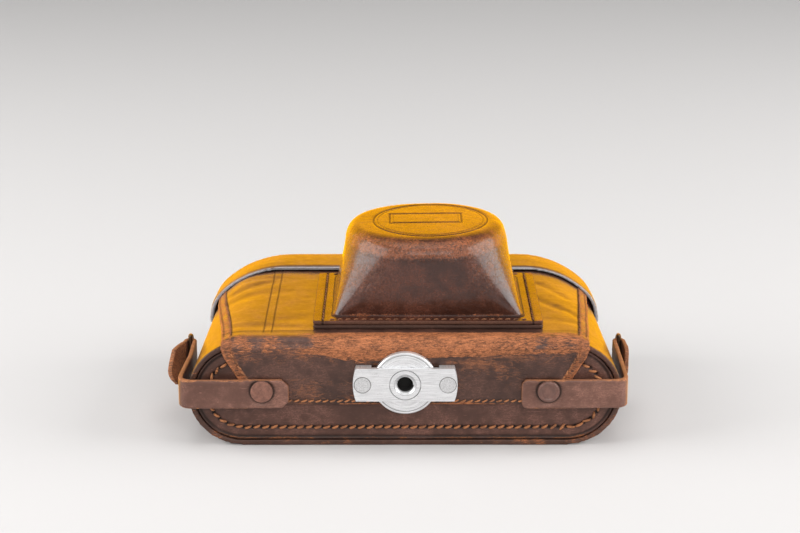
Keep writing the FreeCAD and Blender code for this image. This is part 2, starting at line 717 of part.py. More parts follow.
def strap(name, side, centre_line, tip_kind):
    """Strap bent along a centre line, extruded over its width along Z."""
    thick = SIZE["strap_thick"]
    left, right = [], []
    for i, (x, d) in enumerate(centre_line):
        before = centre_line[max(i - 1, 0)]
        after = centre_line[min(i + 1, len(centre_line) - 1)]
        run_x, run_d = after[0] - before[0], after[1] - before[1]
        run = math.hypot(run_x, run_d)
        off_x, off_d = -run_d / run * thick / 2, run_x / run * thick / 2
        left.append((side * (x + off_x), d + off_d))
        right.append((side * (x - off_x), d - off_d))
    loop = left + right[::-1]
    body = doc.addObject("PartDesign::Body", "Band_" + name)
    sketch = body_sketch(body, "XY_Plane", "Bend_" + name)
    for i in range(len(loop)):
        add_line(sketch, loop[i], loop[(i + 1) % len(loop)])
    close_loop(sketch, len(loop))
    pad = body.newObject("PartDesign::Pad", "Width_" + name)
    pad.Profile = sketch
    pad.setExpression("Length", "P.strap_w")
    body.Tip = pad
    place(body, 0, 0, "P.strap_low")
    doc.recompute()

    def at_tip(edge):
        """The edge runs through the thickness at one end of the strap."""
        centre = edge.CenterOfMass
        flat_edge = edge.BoundBox.ZLength < 0.01 and abs(edge.Length - thick) < 0.05
        return flat_edge and any(
            math.hypot(abs(centre.x) - x, centre.y - SIZE["y_zero"] - d) < 0.05
            for x, d in (STRAP_START, centre_line[-1]))

    shaped = add(tip_kind, "Tip")
    shaped.Base = body
    shaped.Edges = [(i + 1, TIP_CUT, TIP_CUT) for i, edge in enumerate(body.Shape.Edges)
                    if at_tip(edge)]
    hole = rod("Y", f"{side} * P.rivet_x", -8, "P.rivet_z", "P.rivet_hole", 8)
    return piece(name, cut(shaped, hole))


# the lists are the free ends (x, d), hanging back down from the rings
strap("strap_left", -1, strap_run(77.7) + [
    (84.2, 36.8), (85.0, 33.5), (85.8, 30.0), (86.4, 26.5), (86.9, 23.0), (87.2, 20.5),
    (87.4, 18.2),
], "Part::Chamfer")
strap("strap_right", 1, strap_run(76.3) + [
    (83.8, 36.8), (83.9, 33.3), (84.0, 29.8),
], "Part::Fillet")


def strap_rivet(side):
    """Round cap outside the strap, shank, and a closed end inside the panel."""
    x = f"{side} * P.rivet_x"
    cap = soften(
        rod("Y", x, -5.05, "P.rivet_z", "P.rivet_rad", 1.3), 0.7,
        lambda centre, edge: centre.y < SIZE["y_zero"] - 5.0 and edge.BoundBox.YLength < 0.01)
    return fuse(cap, rod("Y", x, -4, "P.rivet_z", 1.25, 7.2),
                rod("Y", x, 3.2, "P.rivet_z", 1.9, 0.2))


def rivet_washer(side):
    x = f"{side} * P.rivet_x"
    return cut(rod("Y", x, 2.78, "P.rivet_z", 3.6, 0.38),
               rod("Y", x, 2, "P.rivet_z", "P.rivet_hole", 2))


piece("strap_rivets", both(strap_rivet))
piece("rivet_washers", both(rivet_washer))


def strap_ring(name, side):
    """D-shaped wire ring: half a torus above a straight bar with rounded corners."""
    x = f"{side} * P.ring_x"
    bow = add("Part::Torus", "Bow")
    bow.setExpression("Radius1", "P.ring_rad")
    bow.setExpression("Radius2", "P.wire_rad")
    place(bow, x, "P.ring_d", "P.ring_z", TO_X)
    half = common(bow, box(f"{x} - 3", f"{x} + 3", "P.ring_d", "P.ring_d + 12", 0, 50))
    bar = rod("Z", x, "P.ring_d", "P.ring_z - P.ring_rad", "P.wire_rad", "2 * P.ring_rad")
    corners = [add("Part::Sphere", "End") for _ in range(2)]
    for corner, sign in zip(corners, "-+"):
        corner.setExpression("Radius", "P.wire_rad")
        place(corner, x, "P.ring_d", f"P.ring_z {sign} P.ring_rad")
    return piece(name, fuse(half, bar, *corners))


strap_ring("ring_left", -1)
strap_ring("ring_right", 1)

# ------------------------------------------------------------------ tripod screw
BRIDGE_D = -6.1  # outer face of the bridge


def bridge_rod(side, d, radius, length):
    return rod("Y", f"{side} * P.bridge_rivet_x", d, "P.screw_z", radius, length)


# bridge: round-ended bar, hollowed over the screw disc, with sunk rivet holes
piece("screw_bridge", cut(
    common(
        rod("Y", 0, BRIDGE_D, "P.screw_z", "P.bridge_half", 4.0),
        box("-P.bridge_half", "P.bridge_half", BRIDGE_D, -2.1,
            "P.screw_z - P.bridge_w / 2", "P.screw_z + P.bridge_w / 2"),
    ),
    box(-12.2, 12.2, -4.6, 0, 0, 50),
    rod("Y", 0, -7, "P.screw_z", 5.75, 6),
    both(lambda side: fuse(bridge_rod(side, -6.5, 2.9, 1.35),
                           bridge_rod(side, -6.5, "P.bridge_hole", 6))),
))
# heads in the bridge, shanks through the panel, closed ends on the backing plate
piece("bridge_rivets", both(lambda side: fuse(
    bridge_rod(side, BRIDGE_D, 2.87, 0.92),
    bridge_rod(side, -5.5, 1.5, 8.85),
    bridge_rod(side, 3.32, 2.2, 0.1))))
piece("backing_plate", cut(
    box(-20, 20, 2.8, 3.28, "P.screw_z - 6.5", "P.screw_z + 6.5"),
    rod("Y", 0, 2, "P.screw_z", 3.5, 3),
    both(lambda side: bridge_rod(side, 2, "P.bridge_hole", 3))))
# screw with a threaded socket below, a disc held by the bridge and a plain stem above
turned("retaining_screw", "Y", (0, 0, "P.screw_z"), [
    (3.85, BRIDGE_D), (5.5, BRIDGE_D), (5.5, -4.5), ("P.disc_rad - 0.25", -4.5),
    ("P.disc_rad", -4.25), ("P.disc_rad", -2.4), ("P.disc_rad - 0.25", -2.15), (6.0, -2.15),
    (6.0, 0.5), (3.1, 0.5), (3.1, 11.0), (2.6, 11.5), (0, 11.5),
    (0, -0.6), ("P.thread_rad", -0.6), ("P.thread_rad", -5.4),
])

# ------------------------------------------------------------------ camera body
MID_Z = "P.body_back + P.body_thick / 2"
FRONT_Z = "P.body_back + P.body_thick"
RELEASE_Z = "P.body_back + P.release_z"
DIAL_Z = "P.body_back + P.dial_z"
SPROCKET_Z = "P.body_back + P.sprocket_z"
FINDER_D = "P.body_to + P.finder_d"
KNOB_D = "P.body_to + P.knob_d"
BASE_SCREWS_X = (-64, -30, 30, 64)


def body_block(inset, d0, d1):
    """Round-ended block with the camera's plan, moved in by inset."""
    radius = f"P.body_thick / 2 - ({inset})"
    end_x = "P.body_half - P.body_thick / 2"
    length = f"({d1}) - ({d0})"
    block = fuse(
        box(f"-({end_x})", end_x, d0, d1, f"{MID_Z} - ({radius})", f"{MID_Z} + ({radius})"),
        rod("Y", f"-({end_x})", d0, MID_Z, radius, length),
        rod("Y", end_x, d0, MID_Z, radius, length),
    )
    block.Refine = True
    return block


def covering_blocks():
    """Outer block of the camera's covering, and the inner block to be cut from it."""
    return (body_block(0, "P.body_from + 1", "P.body_to - 0.5"),
            body_block("P.covering", "P.body_from", "P.body_to"))


def chamber(x, z, radius):
    """Round space between the casting's end walls, 2 mm thick."""
    return rod("Y", x, "P.body_from + 2", z, radius, "P.body_to - P.body_from - 4")


piece("camera_body", cut(
    body_block(0.8, "P.body_from", "P.body_to"),
    chamber("P.spool_x", MID_Z, "P.chamber_rad"),
    chamber("P.cell_x", MID_Z, "P.chamber_rad"),
    # back recess, film track and the openings behind the lens
    box("P.spool_x", "P.cell_x", "P.body_from + 2", "P.body_to - 2",
        "P.body_back - 1", "P.body_back + 4.2"),
    box(-45, 47.5, "P.nose_d - 17", "P.nose_d + 17", "P.body_back + 4", "P.body_back + 6.2"),
    lens_box(18, 12, "P.body_back", "P.body_back + 40"),
    lens_box(22, 16, "P.body_back + 9", "P.body_back + 28"),
    lens_rod("P.body_back + 20", 17.5, 20),
    # shaft holes of the two knobs
    rod("Y", "P.spool_x", "P.body_to - 4", MID_Z, 2.6, 8),
    rod("Y", "P.cell_x", "P.body_to - 4", MID_Z, 2.6, 8),
    chamber("P.sprocket_x", SPROCKET_Z, 4.4),
    # tripod bush and release shaft
    rod("Y", 0, "P.body_from - 1", "P.screw_z", "P.bush_hole", 9.5),
    rod("Y", "P.release_x", "P.body_to - 7", RELEASE_Z, 1.6, 10),
))
piece("body_covering", cut(
    *covering_blocks(),
    across(0, 90, "P.body_back - 1", "P.body_back + P.parting"),
    lens_rod("P.body_back + 20", 23.6, 20),
))
piece("camera_back", cut(
    *covering_blocks(),
    across(0, 90, "P.body_back + P.parting - 0.05"),
))
piece("pressure_plate", rounded_plate(
    lens_box(24, 15.5, "P.body_back + 1.4", "P.body_back + 2.6"), 2, 1.2))

# shutter blind with ten shallow grooves in its front face
GROOVE_PITCH = 3
piece("shutter_blind", cut(
    lens_box(21.5, 15.5, "P.body_back + 9.4", "P.body_back + 10.1"),
    *[box("P.nose_x - 20", "P.nose_x + 20", f"P.nose_d - 13.5 + {i} * {GROOVE_PITCH}",
          f"P.nose_d - 13.1 + {i} * {GROOVE_PITCH}", "P.body_back + 9.85", "P.body_back + 11")
      for i in range(10)],
))

# base plate with its tripod bush and four sunk screws
piece("base_plate", cut(
    body_block(-0.2, 4.3, 6.85),
    rod("Y", 0, 4, "P.screw_z", "P.bush_hole", 4),
    *[rod("Y", x, 4, MID_Z, 1.75, 1.3) for x in BASE_SCREWS_X],
    *[rod("Y", x, 4, MID_Z, 1.05, 4) for x in BASE_SCREWS_X],
))
turned("tripod_bush", "Y", (0, 4.35, "P.screw_z"), [
    (3.2, 0), (6.0, 0), (6.0, 10.5), (0, 10.5), (0, 8.7), (3.2, 8.7),
])
piece("base_screws", fuse(*[
    fuse(rod("Y", x, 4.32, MID_Z, 1.7, 0.9), rod("Y", x, 5, MID_Z, 1.0, 1.84))
    for x in BASE_SCREWS_X]))

# ------------------------------------------------------------------ camera top
# top cover: thin pressed cap, open underneath
TOP_HOLES_D = "P.body_to + 10"
piece("top_cover", cut(
    soften(body_block(0.3, "P.body_to + 0.05", "P.body_to + P.top_high"), 1.2,
           lambda centre, edge: edge.BoundBox.YLength < 0.01
           and centre.y > SIZE["y_zero"] + SIZE["body_to"] + SIZE["top_high"] - 0.1),
    body_block(1.5, "P.body_to - 1", "P.body_to + 12.6"),
    # shafts of the two knobs, the release button and the dial
    rod("Y", "P.spool_x", TOP_HOLES_D, MID_Z, 3.1, 6),
    rod("Y", "P.cell_x", TOP_HOLES_D, MID_Z, 3.1, 6),
    rod("Y", "P.release_x", TOP_HOLES_D, RELEASE_Z, 3.6, 6),
    rod("Y", "P.dial_x", TOP_HOLES_D, DIAL_Z, 1.6, 6),
    # two front windows and the eyepiece hole at the back
    box("P.finder_x - 7", "P.finder_x + 7", "P.body_to + 3.2", "P.body_to + 11.4",
        "P.body_back + 20", REACH_Z),
    rod("Z", "P.round_window_x", FINDER_D, "P.body_back + 20", 2.6, 20),
    rod("Z", "P.finder_x", FINDER_D, 0, 3.6, 12),
))
piece("finder_window", fuse(
    box("P.finder_x - 6.9", "P.finder_x + 6.9", "P.body_to + 3.3", "P.body_to + 11.3",
        f"{FRONT_Z} - 1.45", f"{FRONT_Z} - 0.5"),
    rod("Z", "P.round_window_x", FINDER_D, f"{FRONT_Z} - 1.45", 2.5, 0.95)))
piece("eyepiece", rod("Z", "P.finder_x", FINDER_D, "P.body_back + 0.45", 3.5, 1.2))

# accessory shoe: block with a wide slot and a narrower open channel above it
piece("accessory_shoe", cut(
    box(-0.6, 17.4, "P.body_to + 13.85", "P.body_to + 16.85",
        "P.body_back + 7", "P.body_back + 25"),
    box(0.4, 16.4, "P.body_to + 14.65", "P.body_to + 16.05",
        "P.body_back + 6", "P.body_back + 24"),
    box(2.4, 14.4, "P.body_to + 15", "P.body_to + 18",
        "P.body_back + 6", "P.body_back + 26"),
))

knurled("wind_knob", "Y", ("P.spool_x", KNOB_D, MID_Z), [
    (0, 0), (9.2, 0), (9.8, 0.6), (9.8, 6.4), (9.2, 7.2), (3, 7.2), (2.6, 6.9), (0, 6.9),
], knurl="wind", ring_rad=9.95, groove_rad=0.45, start=0.5, length=6.2, count=36)
turned("takeup_spool", "Y", ("P.spool_x", 0, MID_Z), [
    (0, "P.body_from + 2.4"), (10.5, "P.body_from + 2.4"), (10.5, "P.body_from + 3.4"),
    (4.2, "P.body_from + 4"), (4.2, "P.body_to - 5"), (10.5, "P.body_to - 4.4"),
    (10.5, "P.body_to - 3.4"), (2.4, "P.body_to - 3.4"), (2.4, "P.body_to + 13.85"),
    (0, "P.body_to + 13.85"),
])
knurled("rewind_knob", "Y", ("P.cell_x", KNOB_D, MID_Z), [
    (0, 0), (8.6, 0), (9.1, 0.5), (9.1, 4.8), (8.4, 5.6), (0, 5.6),
], knurl="rewind", ring_rad=9.25, groove_rad=0.42, start=0.4, length=4.6, count=34)
piece("rewind_fork", cut(
    rod("Y", "P.cell_x", "P.body_to - 9", MID_Z, 2.4, 22.85),
    box("P.cell_x - 0.5", "P.cell_x + 0.5", "P.body_to - 10", "P.body_to - 5", 0, REACH_Z)))
turned("film_sprocket", "Y", ("P.sprocket_x", 0, SPROCKET_Z), [
    (0, "P.body_from + 2.3"), (3.9, "P.body_from + 2.3"), (3.9, "P.body_from + 11"),
    (3.0, "P.body_from + 11.5"), (3.0, "P.body_to - 12"), (3.9, "P.body_to - 11.5"),
    (3.9, "P.body_to - 2.4"), (0, "P.body_to - 2.4"),
])
turned("release_button", "Y", ("P.release_x", "P.body_to + P.top_high", RELEASE_Z), [
    (0, -16), (1.5, -16), (1.5, -1.2), (3.4, -1.2), (3.4, 2.2), (3.0, 2.6), (0.8, 2.6),
    (0.8, 1.2), (0, 1.2),
])
knurled("speed_dial", "Y", ("P.dial_x", KNOB_D, DIAL_Z), [
    (0, 0), (6.2, 0), (6.6, 0.4), (6.6, 3.2), (6.0, 4.0), (0, 4.0),
], knurl="dial", ring_rad=6.75, groove_rad=0.35, start=0.3, length=3.3, count=30)
piece("dial_spindle", rod("Y", "P.dial_x", "P.body_to + 11.5", DIAL_Z, 1.5, 2.35))

# ------------------------------------------------------------------ lens
# profiles are measured along Z from the front of the camera
LENS_SPOT = ("P.nose_x", "P.nose_d", FRONT_Z)

turned("lens_mount", "Z", LENS_SPOT, [
    (17.6, -0.7), (23.4, -0.7), (23.4, 1.6), (22.8, 2.2), (17.6, 2.2),
])
turned("lens_barrel", "Z", LENS_SPOT, [
    (12.4, -9), (15.6, -9), (15.6, 2.3), (20.2, 2.3), (20.2, 4.6), (17.4, 4.6),
    (17.4, 13.2), (15.4, 13.2), (15.4, 20.6), (12.4, 20.6),
])
knurled("focus_ring", "Z", LENS_SPOT, [
    (17.5, 4.8), (20.2, 4.8), (20.6, 5.2), (20.6, 12.2), (20.0, 12.8), (17.5, 12.8),
], knurl="focus", ring_rad=20.8, groove_rad=0.45, start=5.0, length=7.6, count=48)
knurled("aperture_ring", "Z", LENS_SPOT, [
    (15.5, 13.4), (17.2, 13.4), (17.5, 13.7), (17.5, 17.4), (17.2, 17.8), (15.5, 17.8),
], knurl="aperture", ring_rad=17.7, groove_rad=0.45, start=13.5, length=4.2, count=60)
turned("lens_rim", "Z", LENS_SPOT, [
    (9.3, 20.7), (12.2, 23.2), (15.6, 23.6), (16.2, 23.0), (16.2, 18.1), (15.55, 18.1),
    (15.55, 20.7),
])
turned("front_glass", "Z", LENS_SPOT, [
    (0, 17.6), (12.3, 17.6), (12.3, 18.6), (9.2, 20.3), (5.5, 21.3), (0, 21.8),
])
turned("rear_glass", "Z", LENS_SPOT, [
    (0, -8.6), (6, -8.2), (10, -7), (12.3, -5.8), (12.3, -4), (0, -4),
])
turned("iris_blades", "Z", LENS_SPOT, [
    (4.2, 7.0), (12.3, 7.0), (12.3, 7.6), (4.2, 7.6),
])


def strap_lug(side):
    """Small drilled block standing out of the rounded end of the camera."""
    x = f"{side} * (P.body_half - 0.1)"
    return cut(
        box(f"{x} - 1.1", f"{x} + 1.1", "P.body_to - 9", "P.body_to - 3",
            f"{MID_Z} - 2.2", f"{MID_Z} + 2.2"),
        rod("X", f"{x} - 2", "P.body_to - 6", MID_Z, 1.1, 4),
        body_block(-0.03, "P.body_from", "P.body_to + 2"))


piece("strap_lugs", both(strap_lug))

# ------------------------------------------------------------------ checks and export
doc.recompute()
faults = [f"{obj.Label}: {obj.State}" for obj in doc.Objects
          if any(word in obj.State for word in ("Invalid", "Error"))]
for name, obj in PIECES:
    if obj.Shape.isNull() or not obj.Shape.isValid() or obj.Shape.Volume < 1e-3:
        faults.append(f"{name}: null or invalid shape")
if faults:
    raise SystemExit("\n".join(faults))

os.makedirs("parts", exist_ok=True)
for name, obj in PIECES:
    obj.Shape.exportStep("parts/" + name + ".step")
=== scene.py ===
import bmesh
import bpy
import math
import numpy as np
from functools import cached_property, reduce
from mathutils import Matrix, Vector


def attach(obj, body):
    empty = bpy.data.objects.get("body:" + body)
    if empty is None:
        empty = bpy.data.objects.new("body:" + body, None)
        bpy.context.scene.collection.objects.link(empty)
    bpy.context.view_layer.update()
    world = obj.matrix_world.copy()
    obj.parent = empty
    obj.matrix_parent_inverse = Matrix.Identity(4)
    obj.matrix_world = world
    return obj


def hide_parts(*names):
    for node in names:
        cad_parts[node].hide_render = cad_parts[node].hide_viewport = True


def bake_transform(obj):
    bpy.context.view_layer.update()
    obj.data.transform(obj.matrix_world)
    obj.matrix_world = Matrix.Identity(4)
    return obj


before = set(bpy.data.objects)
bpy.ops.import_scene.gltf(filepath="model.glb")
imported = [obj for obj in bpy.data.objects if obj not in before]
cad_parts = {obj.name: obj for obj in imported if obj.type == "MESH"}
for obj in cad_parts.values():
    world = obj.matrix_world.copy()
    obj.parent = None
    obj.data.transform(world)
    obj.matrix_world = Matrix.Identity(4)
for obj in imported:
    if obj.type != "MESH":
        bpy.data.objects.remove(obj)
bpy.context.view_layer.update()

MM = 0.001
ROOT, COVER = "case_and_camera", "front_cover"  # the bodies that pieces move with
LEATHER_SLOT = "case_leather"

# ---- driving dimensions, shared by meshes and materials
BASE_Y = -49.0  # plane of the case's bottom
END_X, END_RADIUS = 59.1, 19.9  # centre and radius of the case's round ends
RIM_STITCH_INSET, RIM_STITCH_PITCH = 7.0, 3.2
PANEL_NEAR, PANEL_FAR = 3.05, 83.2  # where the front panel starts and stops, along
FOLD_HALF_WIDTH, PANEL_FLARE = 66.6, 7.0  # half width at the fold, and its gain at the far end
HEM_INSET = 3.4  # hem seam, in from the side edge
NOSE_X, NOSE_ALONG = 8.4, 38.5  # middle of the lens nose
NOSE_Y = BASE_Y + NOSE_ALONG
NOSE_SHIFT = 0.6  # the nose's top sits this far to the left of its foot
FLANGE_SEAM = 38.4  # seam of the nose flange, sideways from the nose's middle
RING_X = NOSE_X + 1.2  # middle of the two rings pressed in the nose's top
RING_RADII = (19.8, 21.3)
TABLET_X, TABLET_Y = NOSE_X - NOSE_SHIFT, NOSE_Y + 2.0  # rectangle pressed in the nose's top
TABLET_HALF = (13.4, 6.2)
SCREW_Z, BRIDGE_RIVET_X = 25.7, 15.4
STRAP_RIVET_X, STRAP_RIVET_Z = 51.9, 22.5


def y_at(along):
    return BASE_Y + along


# ---- numbers
HASH_PRIMES = np.array([374761393, 668265263, 1440662683])


def lattice(points, size, seed):
    """Smooth value noise in -1..1 at points (n, 3), with cells of the given size."""
    scaled = points / np.asarray(size, float)
    cell = np.floor(scaled).astype(np.int64)
    part = scaled - cell
    part = part * part * (3 - 2 * part)

    def corner(*offset):
        key = (((cell + offset) * HASH_PRIMES).sum(axis=1) + seed * 974634777) & 0x7FFFFFFF
        key = ((key ^ (key >> 13)) * 1274126177) & 0x7FFFFFFF
        key = key ^ (key >> 16)
        return (key & 0xFFFF) / 32767.5 - 1

    def between(start, end, axis):
        return start * (1 - part[:, axis]) + end * part[:, axis]

    def layer(dz):
        near = between(corner(0, 0, dz), corner(1, 0, dz), 0)
        far = between(corner(0, 1, dz), corner(1, 1, dz), 0)
        return between(near, far, 1)

    return between(layer(0), layer(1), 2)


def fractal(points, size, seed, octaves=4):
    """Lattice noise summed over octaves, each half the size of the one before."""
    out = np.zeros(len(points))
    weight, total = 1.0, 0.0
    size = np.asarray(size, float)
    for k in range(octaves):
        out += weight * lattice(points + 17.3 * k, size, seed + 31 * k)
        total += weight
        weight *= 0.55
        size = size * 0.5
    return out / total


def step(start, end, value):
    """Smooth ramp from 0 at start to 1 at end; start may be the larger."""
    t = np.clip((value - start) / (end - start), 0, 1)
    return t * t * (3 - 2 * t)


def bump_at(value, centre, width):
    return np.exp(-(((value - centre) / width) ** 2))


def segment_distance(points, start, end):
    start, end = np.asarray(start, float), np.asarray(end, float)
    span = end - start
    t = np.clip(((points - start) @ span) / (span @ span), 0, 1)
    return np.linalg.norm(points - (start + t[:, None] * span), axis=1)


def resample(path, pitch):
    """The path as points evenly spaced at about the given pitch."""
    path = np.asarray(path, float)
    lengths = np.linalg.norm(np.diff(path, axis=0), axis=1)
    run = np.concatenate([[0], np.cumsum(lengths)])
    count = max(2, int(round(run[-1] / pitch)))
    t = np.linspace(0, run[-1], count + 1)
    return np.stack([np.interp(t, run, path[:, k]) for k in range(3)], 1)


# ---- meshes
def link(ob):
    bpy.context.scene.collection.objects.link(ob)
    return ob


def shade_smooth(mesh):
    mesh.polygons.foreach_set("use_smooth", [True] * len(mesh.polygons))


def mesh_object(name, verts, faces, material, smooth=True):
    """An object from vertices in millimetres."""
    mesh = bpy.data.meshes.new(name)
    verts = [tuple(v) for v in np.asarray(verts, float) * MM]
    mesh.from_pydata(verts, [], [tuple(int(i) for i in f) for f in faces])
    mesh.validate()
    mesh.update()
    if smooth:
        shade_smooth(mesh)
    mesh.materials.append(MATERIALS[material])
    return link(bpy.data.objects.new(name, mesh))


def read_vectors(collection, prop):
    values = np.zeros(len(collection) * 3)
    collection.foreach_get(prop, values)
    return values.reshape(-1, 3)


def surface(ob):
    """Points in millimetres, normals, and each point's distance along."""
    points = read_vectors(ob.data.vertices, "co") / MM
    return points, read_vectors(ob.data.vertex_normals, "vector"), points[:, 1] - BASE_Y


def set_coords(ob, points):
    ob.data.vertices.foreach_set("co", (points * MM).ravel())
    ob.data.update()


def lift(points, normals, height):
    return points + normals * height[:, None]


def relief(points, normals, height, size, seed, octaves=4):
    return lift(points, normals, height * fractal(points, size, seed, octaves))


def set_masks(ob, **masks):
    """Store point attributes in 0..1 for the leather materials."""
    for name, values in masks.items():
        stored = np.empty(len(ob.data.vertices), np.float32)
        stored[:] = np.clip(values, 0, 1)
        ob.data.attributes.new(name, "FLOAT", "POINT").data.foreach_set("value", stored)


def assign(ob, body, slot, *replaced):
    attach(ob, body)
    if replaced:
        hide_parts(*replaced)


def resurfaced(name, nodes, voxel, rounds, material):
    """A dense even skin over CAD pieces, with the cut edges rounded off."""
    verts, faces, base = [], [], 0
    for node in nodes:
        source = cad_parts[node].data
        verts.append(read_vectors(source.vertices, "co"))
        faces += [tuple(i + base for i in p.vertices) for p in source.polygons]
        base += len(source.vertices)
    mesh = bpy.data.meshes.new(name)
    mesh.from_pydata([tuple(v) for v in np.vstack(verts)], [], faces)
    mesh.update()
    ob = link(bpy.data.objects.new(name, mesh))
    weld = ob.modifiers.new("weld", "WELD")
    weld.merge_threshold = 0.000001
    skin = ob.modifiers.new("skin", "REMESH")
    skin.mode = "VOXEL"
    skin.voxel_size = voxel * MM * 1.0
    soft = ob.modifiers.new("soft", "SMOOTH")
    soft.factor = 0.5
    soft.iterations = rounds
    bpy.context.view_layer.update()
    depsgraph = bpy.context.evaluated_depsgraph_get()
    out = bpy.data.meshes.new_from_object(ob.evaluated_get(depsgraph))
    ob.modifiers.clear()
    ob.data = out
    out.name = name
    out.materials.clear()
    out.materials.append(MATERIALS[material])
    shade_smooth(out)
    out.update()
    return ob


def loft_faces(rings, sides):
    """Quads between successive rings of points."""
    faces = []
    for i in range(rings - 1):
        low, high = i * sides, (i + 1) * sides
        for k in range(sides):
            after = (k + 1) % sides
            faces.append((low + k, low + after, high + after, high + k))
    return faces


def fix_normals(ob, merge=False):
    cleaned = bmesh.new()
    cleaned.from_mesh(ob.data)
    if merge:
        bmesh.ops.remove_doubles(cleaned, verts=cleaned.verts, dist=1e-7)
    bmesh.ops.recalc_face_normals(cleaned, faces=cleaned.faces)
    cleaned.to_mesh(ob.data)
    cleaned.free()
    shade_smooth(ob.data)


def tube(path, radii, sides):
    """Vertices and faces of a closed round tube along a path."""
    path = np.asarray(path, float)
    count = len(path)
    verts = []
    for i in range(count):
        tangent = path[min(i + 1, count - 1)] - path[max(i - 1, 0)]
        tangent = tangent / (np.linalg.norm(tangent) + 1e-12)
        reference = np.array([0, 0, 1.0] if abs(tangent[2]) < 0.9 else [1.0, 0, 0])
        across = np.cross(tangent, reference)
        across /= np.linalg.norm(across)
        other = np.cross(tangent, across)
        for k in range(sides):
            turn = 2 * math.pi * k / sides
            verts.append(path[i] + radii[i] * (math.cos(turn) * across + math.sin(turn) * other))
    faces = loft_faces(count, sides)
    faces.append(tuple(range(sides))[::-1])
    faces.append(tuple((count - 1) * sides + k for k in range(sides)))
    return verts, faces


def turned(name, centre_x, centre_z, profile, material, body, slot, sides=64):
    """A shape turned about the Y direction. profile: (radius, along)."""
    verts = []
    for radius, along in profile:
        for k in range(sides):
            turn = 2 * math.pi * k / sides
            verts.append((centre_x + radius * math.cos(turn), y_at(along),
                          centre_z + radius * math.sin(turn)))
    ob = mesh_object(name, verts, loft_faces(len(profile), sides), material)
    fix_normals(ob, merge=True)
    assign(ob, body, slot)
    return ob


def stitches(name, path, outward, pitch, radius, share, slant, loft, seed,
             body=COVER, material="thread_dark", untidy=None):
    """A row of thread stitches that dive into the leather at both ends.

    outward(point) is the surface's direction; share is the stitch's part of the pitch; loft
    is its height; untidy(point) in 0..1 lengthens and scatters stitches.
    """
    points = resample(path, pitch)
    random = np.random.default_rng(seed)
    verts, faces = [], []
    for start, end in zip(points[:-1], points[1:]):
        middle = (start + end) / 2
        length = np.linalg.norm(end - start)
        tangent = (end - start) / length
        normal = np.asarray(outward(middle), float)
        side = np.cross(normal, tangent)
        mess = untidy(middle) if untidy else 0.0
        middle = middle + side * random.normal(0, 0.05)
        half = length * share / 2 * random.uniform(0.92, 1.05) * (1 + 0.25 * mess)
        lean = slant * random.uniform(0.75, 1.25) + mess * random.normal(0, 0.9)
        direction = tangent + side * lean
        middle = middle + side * mess * random.normal(0, 0.35)
        direction /= np.linalg.norm(direction)
        line, radii = [], []
        for k in range(9):
            t = -1 + 2 * k / 8
            height = loft * (1 - abs(t) ** 2.2) - 0.30 * abs(t) ** 5
            line.append(middle + direction * half * t + normal * height)
            taper = 0.55 + 0.45 * (1 - abs(t) ** 3)
            radii.append(radius * taper * random.uniform(0.93, 1.07))
        stitch_verts, stitch_faces = tube(line, radii, sides=8)
        faces += [tuple(i + len(verts) for i in face) for face in stitch_faces]
        verts += stitch_verts
    assign(mesh_object(name, verts, faces, material), body, LEATHER_SLOT)


# ---- shader building
class Field:
    """A shader value; arithmetic on it adds Math nodes."""

    def __init__(self, shader, socket):
        self.shader, self.socket = shader, socket

    def __add__(self, other):
        return self.shader.math("ADD", self, other)

    def __radd__(self, other):
        return self.shader.math("ADD", other, self)

    def __sub__(self, other):
        return self.shader.math("SUBTRACT", self, other)

    def __rsub__(self, other):
        return self.shader.math("SUBTRACT", other, self)

    def __mul__(self, other):
        return self.shader.math("MULTIPLY", self, other)

    def __abs__(self):
        return self.shader.math("ABSOLUTE", self)

    def sqrt(self):
        return self.shader.math("SQRT", self)

    def max(self, other):
        return self.shader.math("MAXIMUM", self, other)

    def step(self, start, end):
        """Smooth ramp from 0 at start to 1 at end."""
        return self.shader.node("MapRange", {"Value": self, "From Min": start, "From Max": end},
                                interpolation_type="SMOOTHSTEP")

    def line(self, at, half):
        """1 where the value is near at, falling to 0 beyond half."""
        return 1.0 - abs(self - at).step(half * 0.5, half)


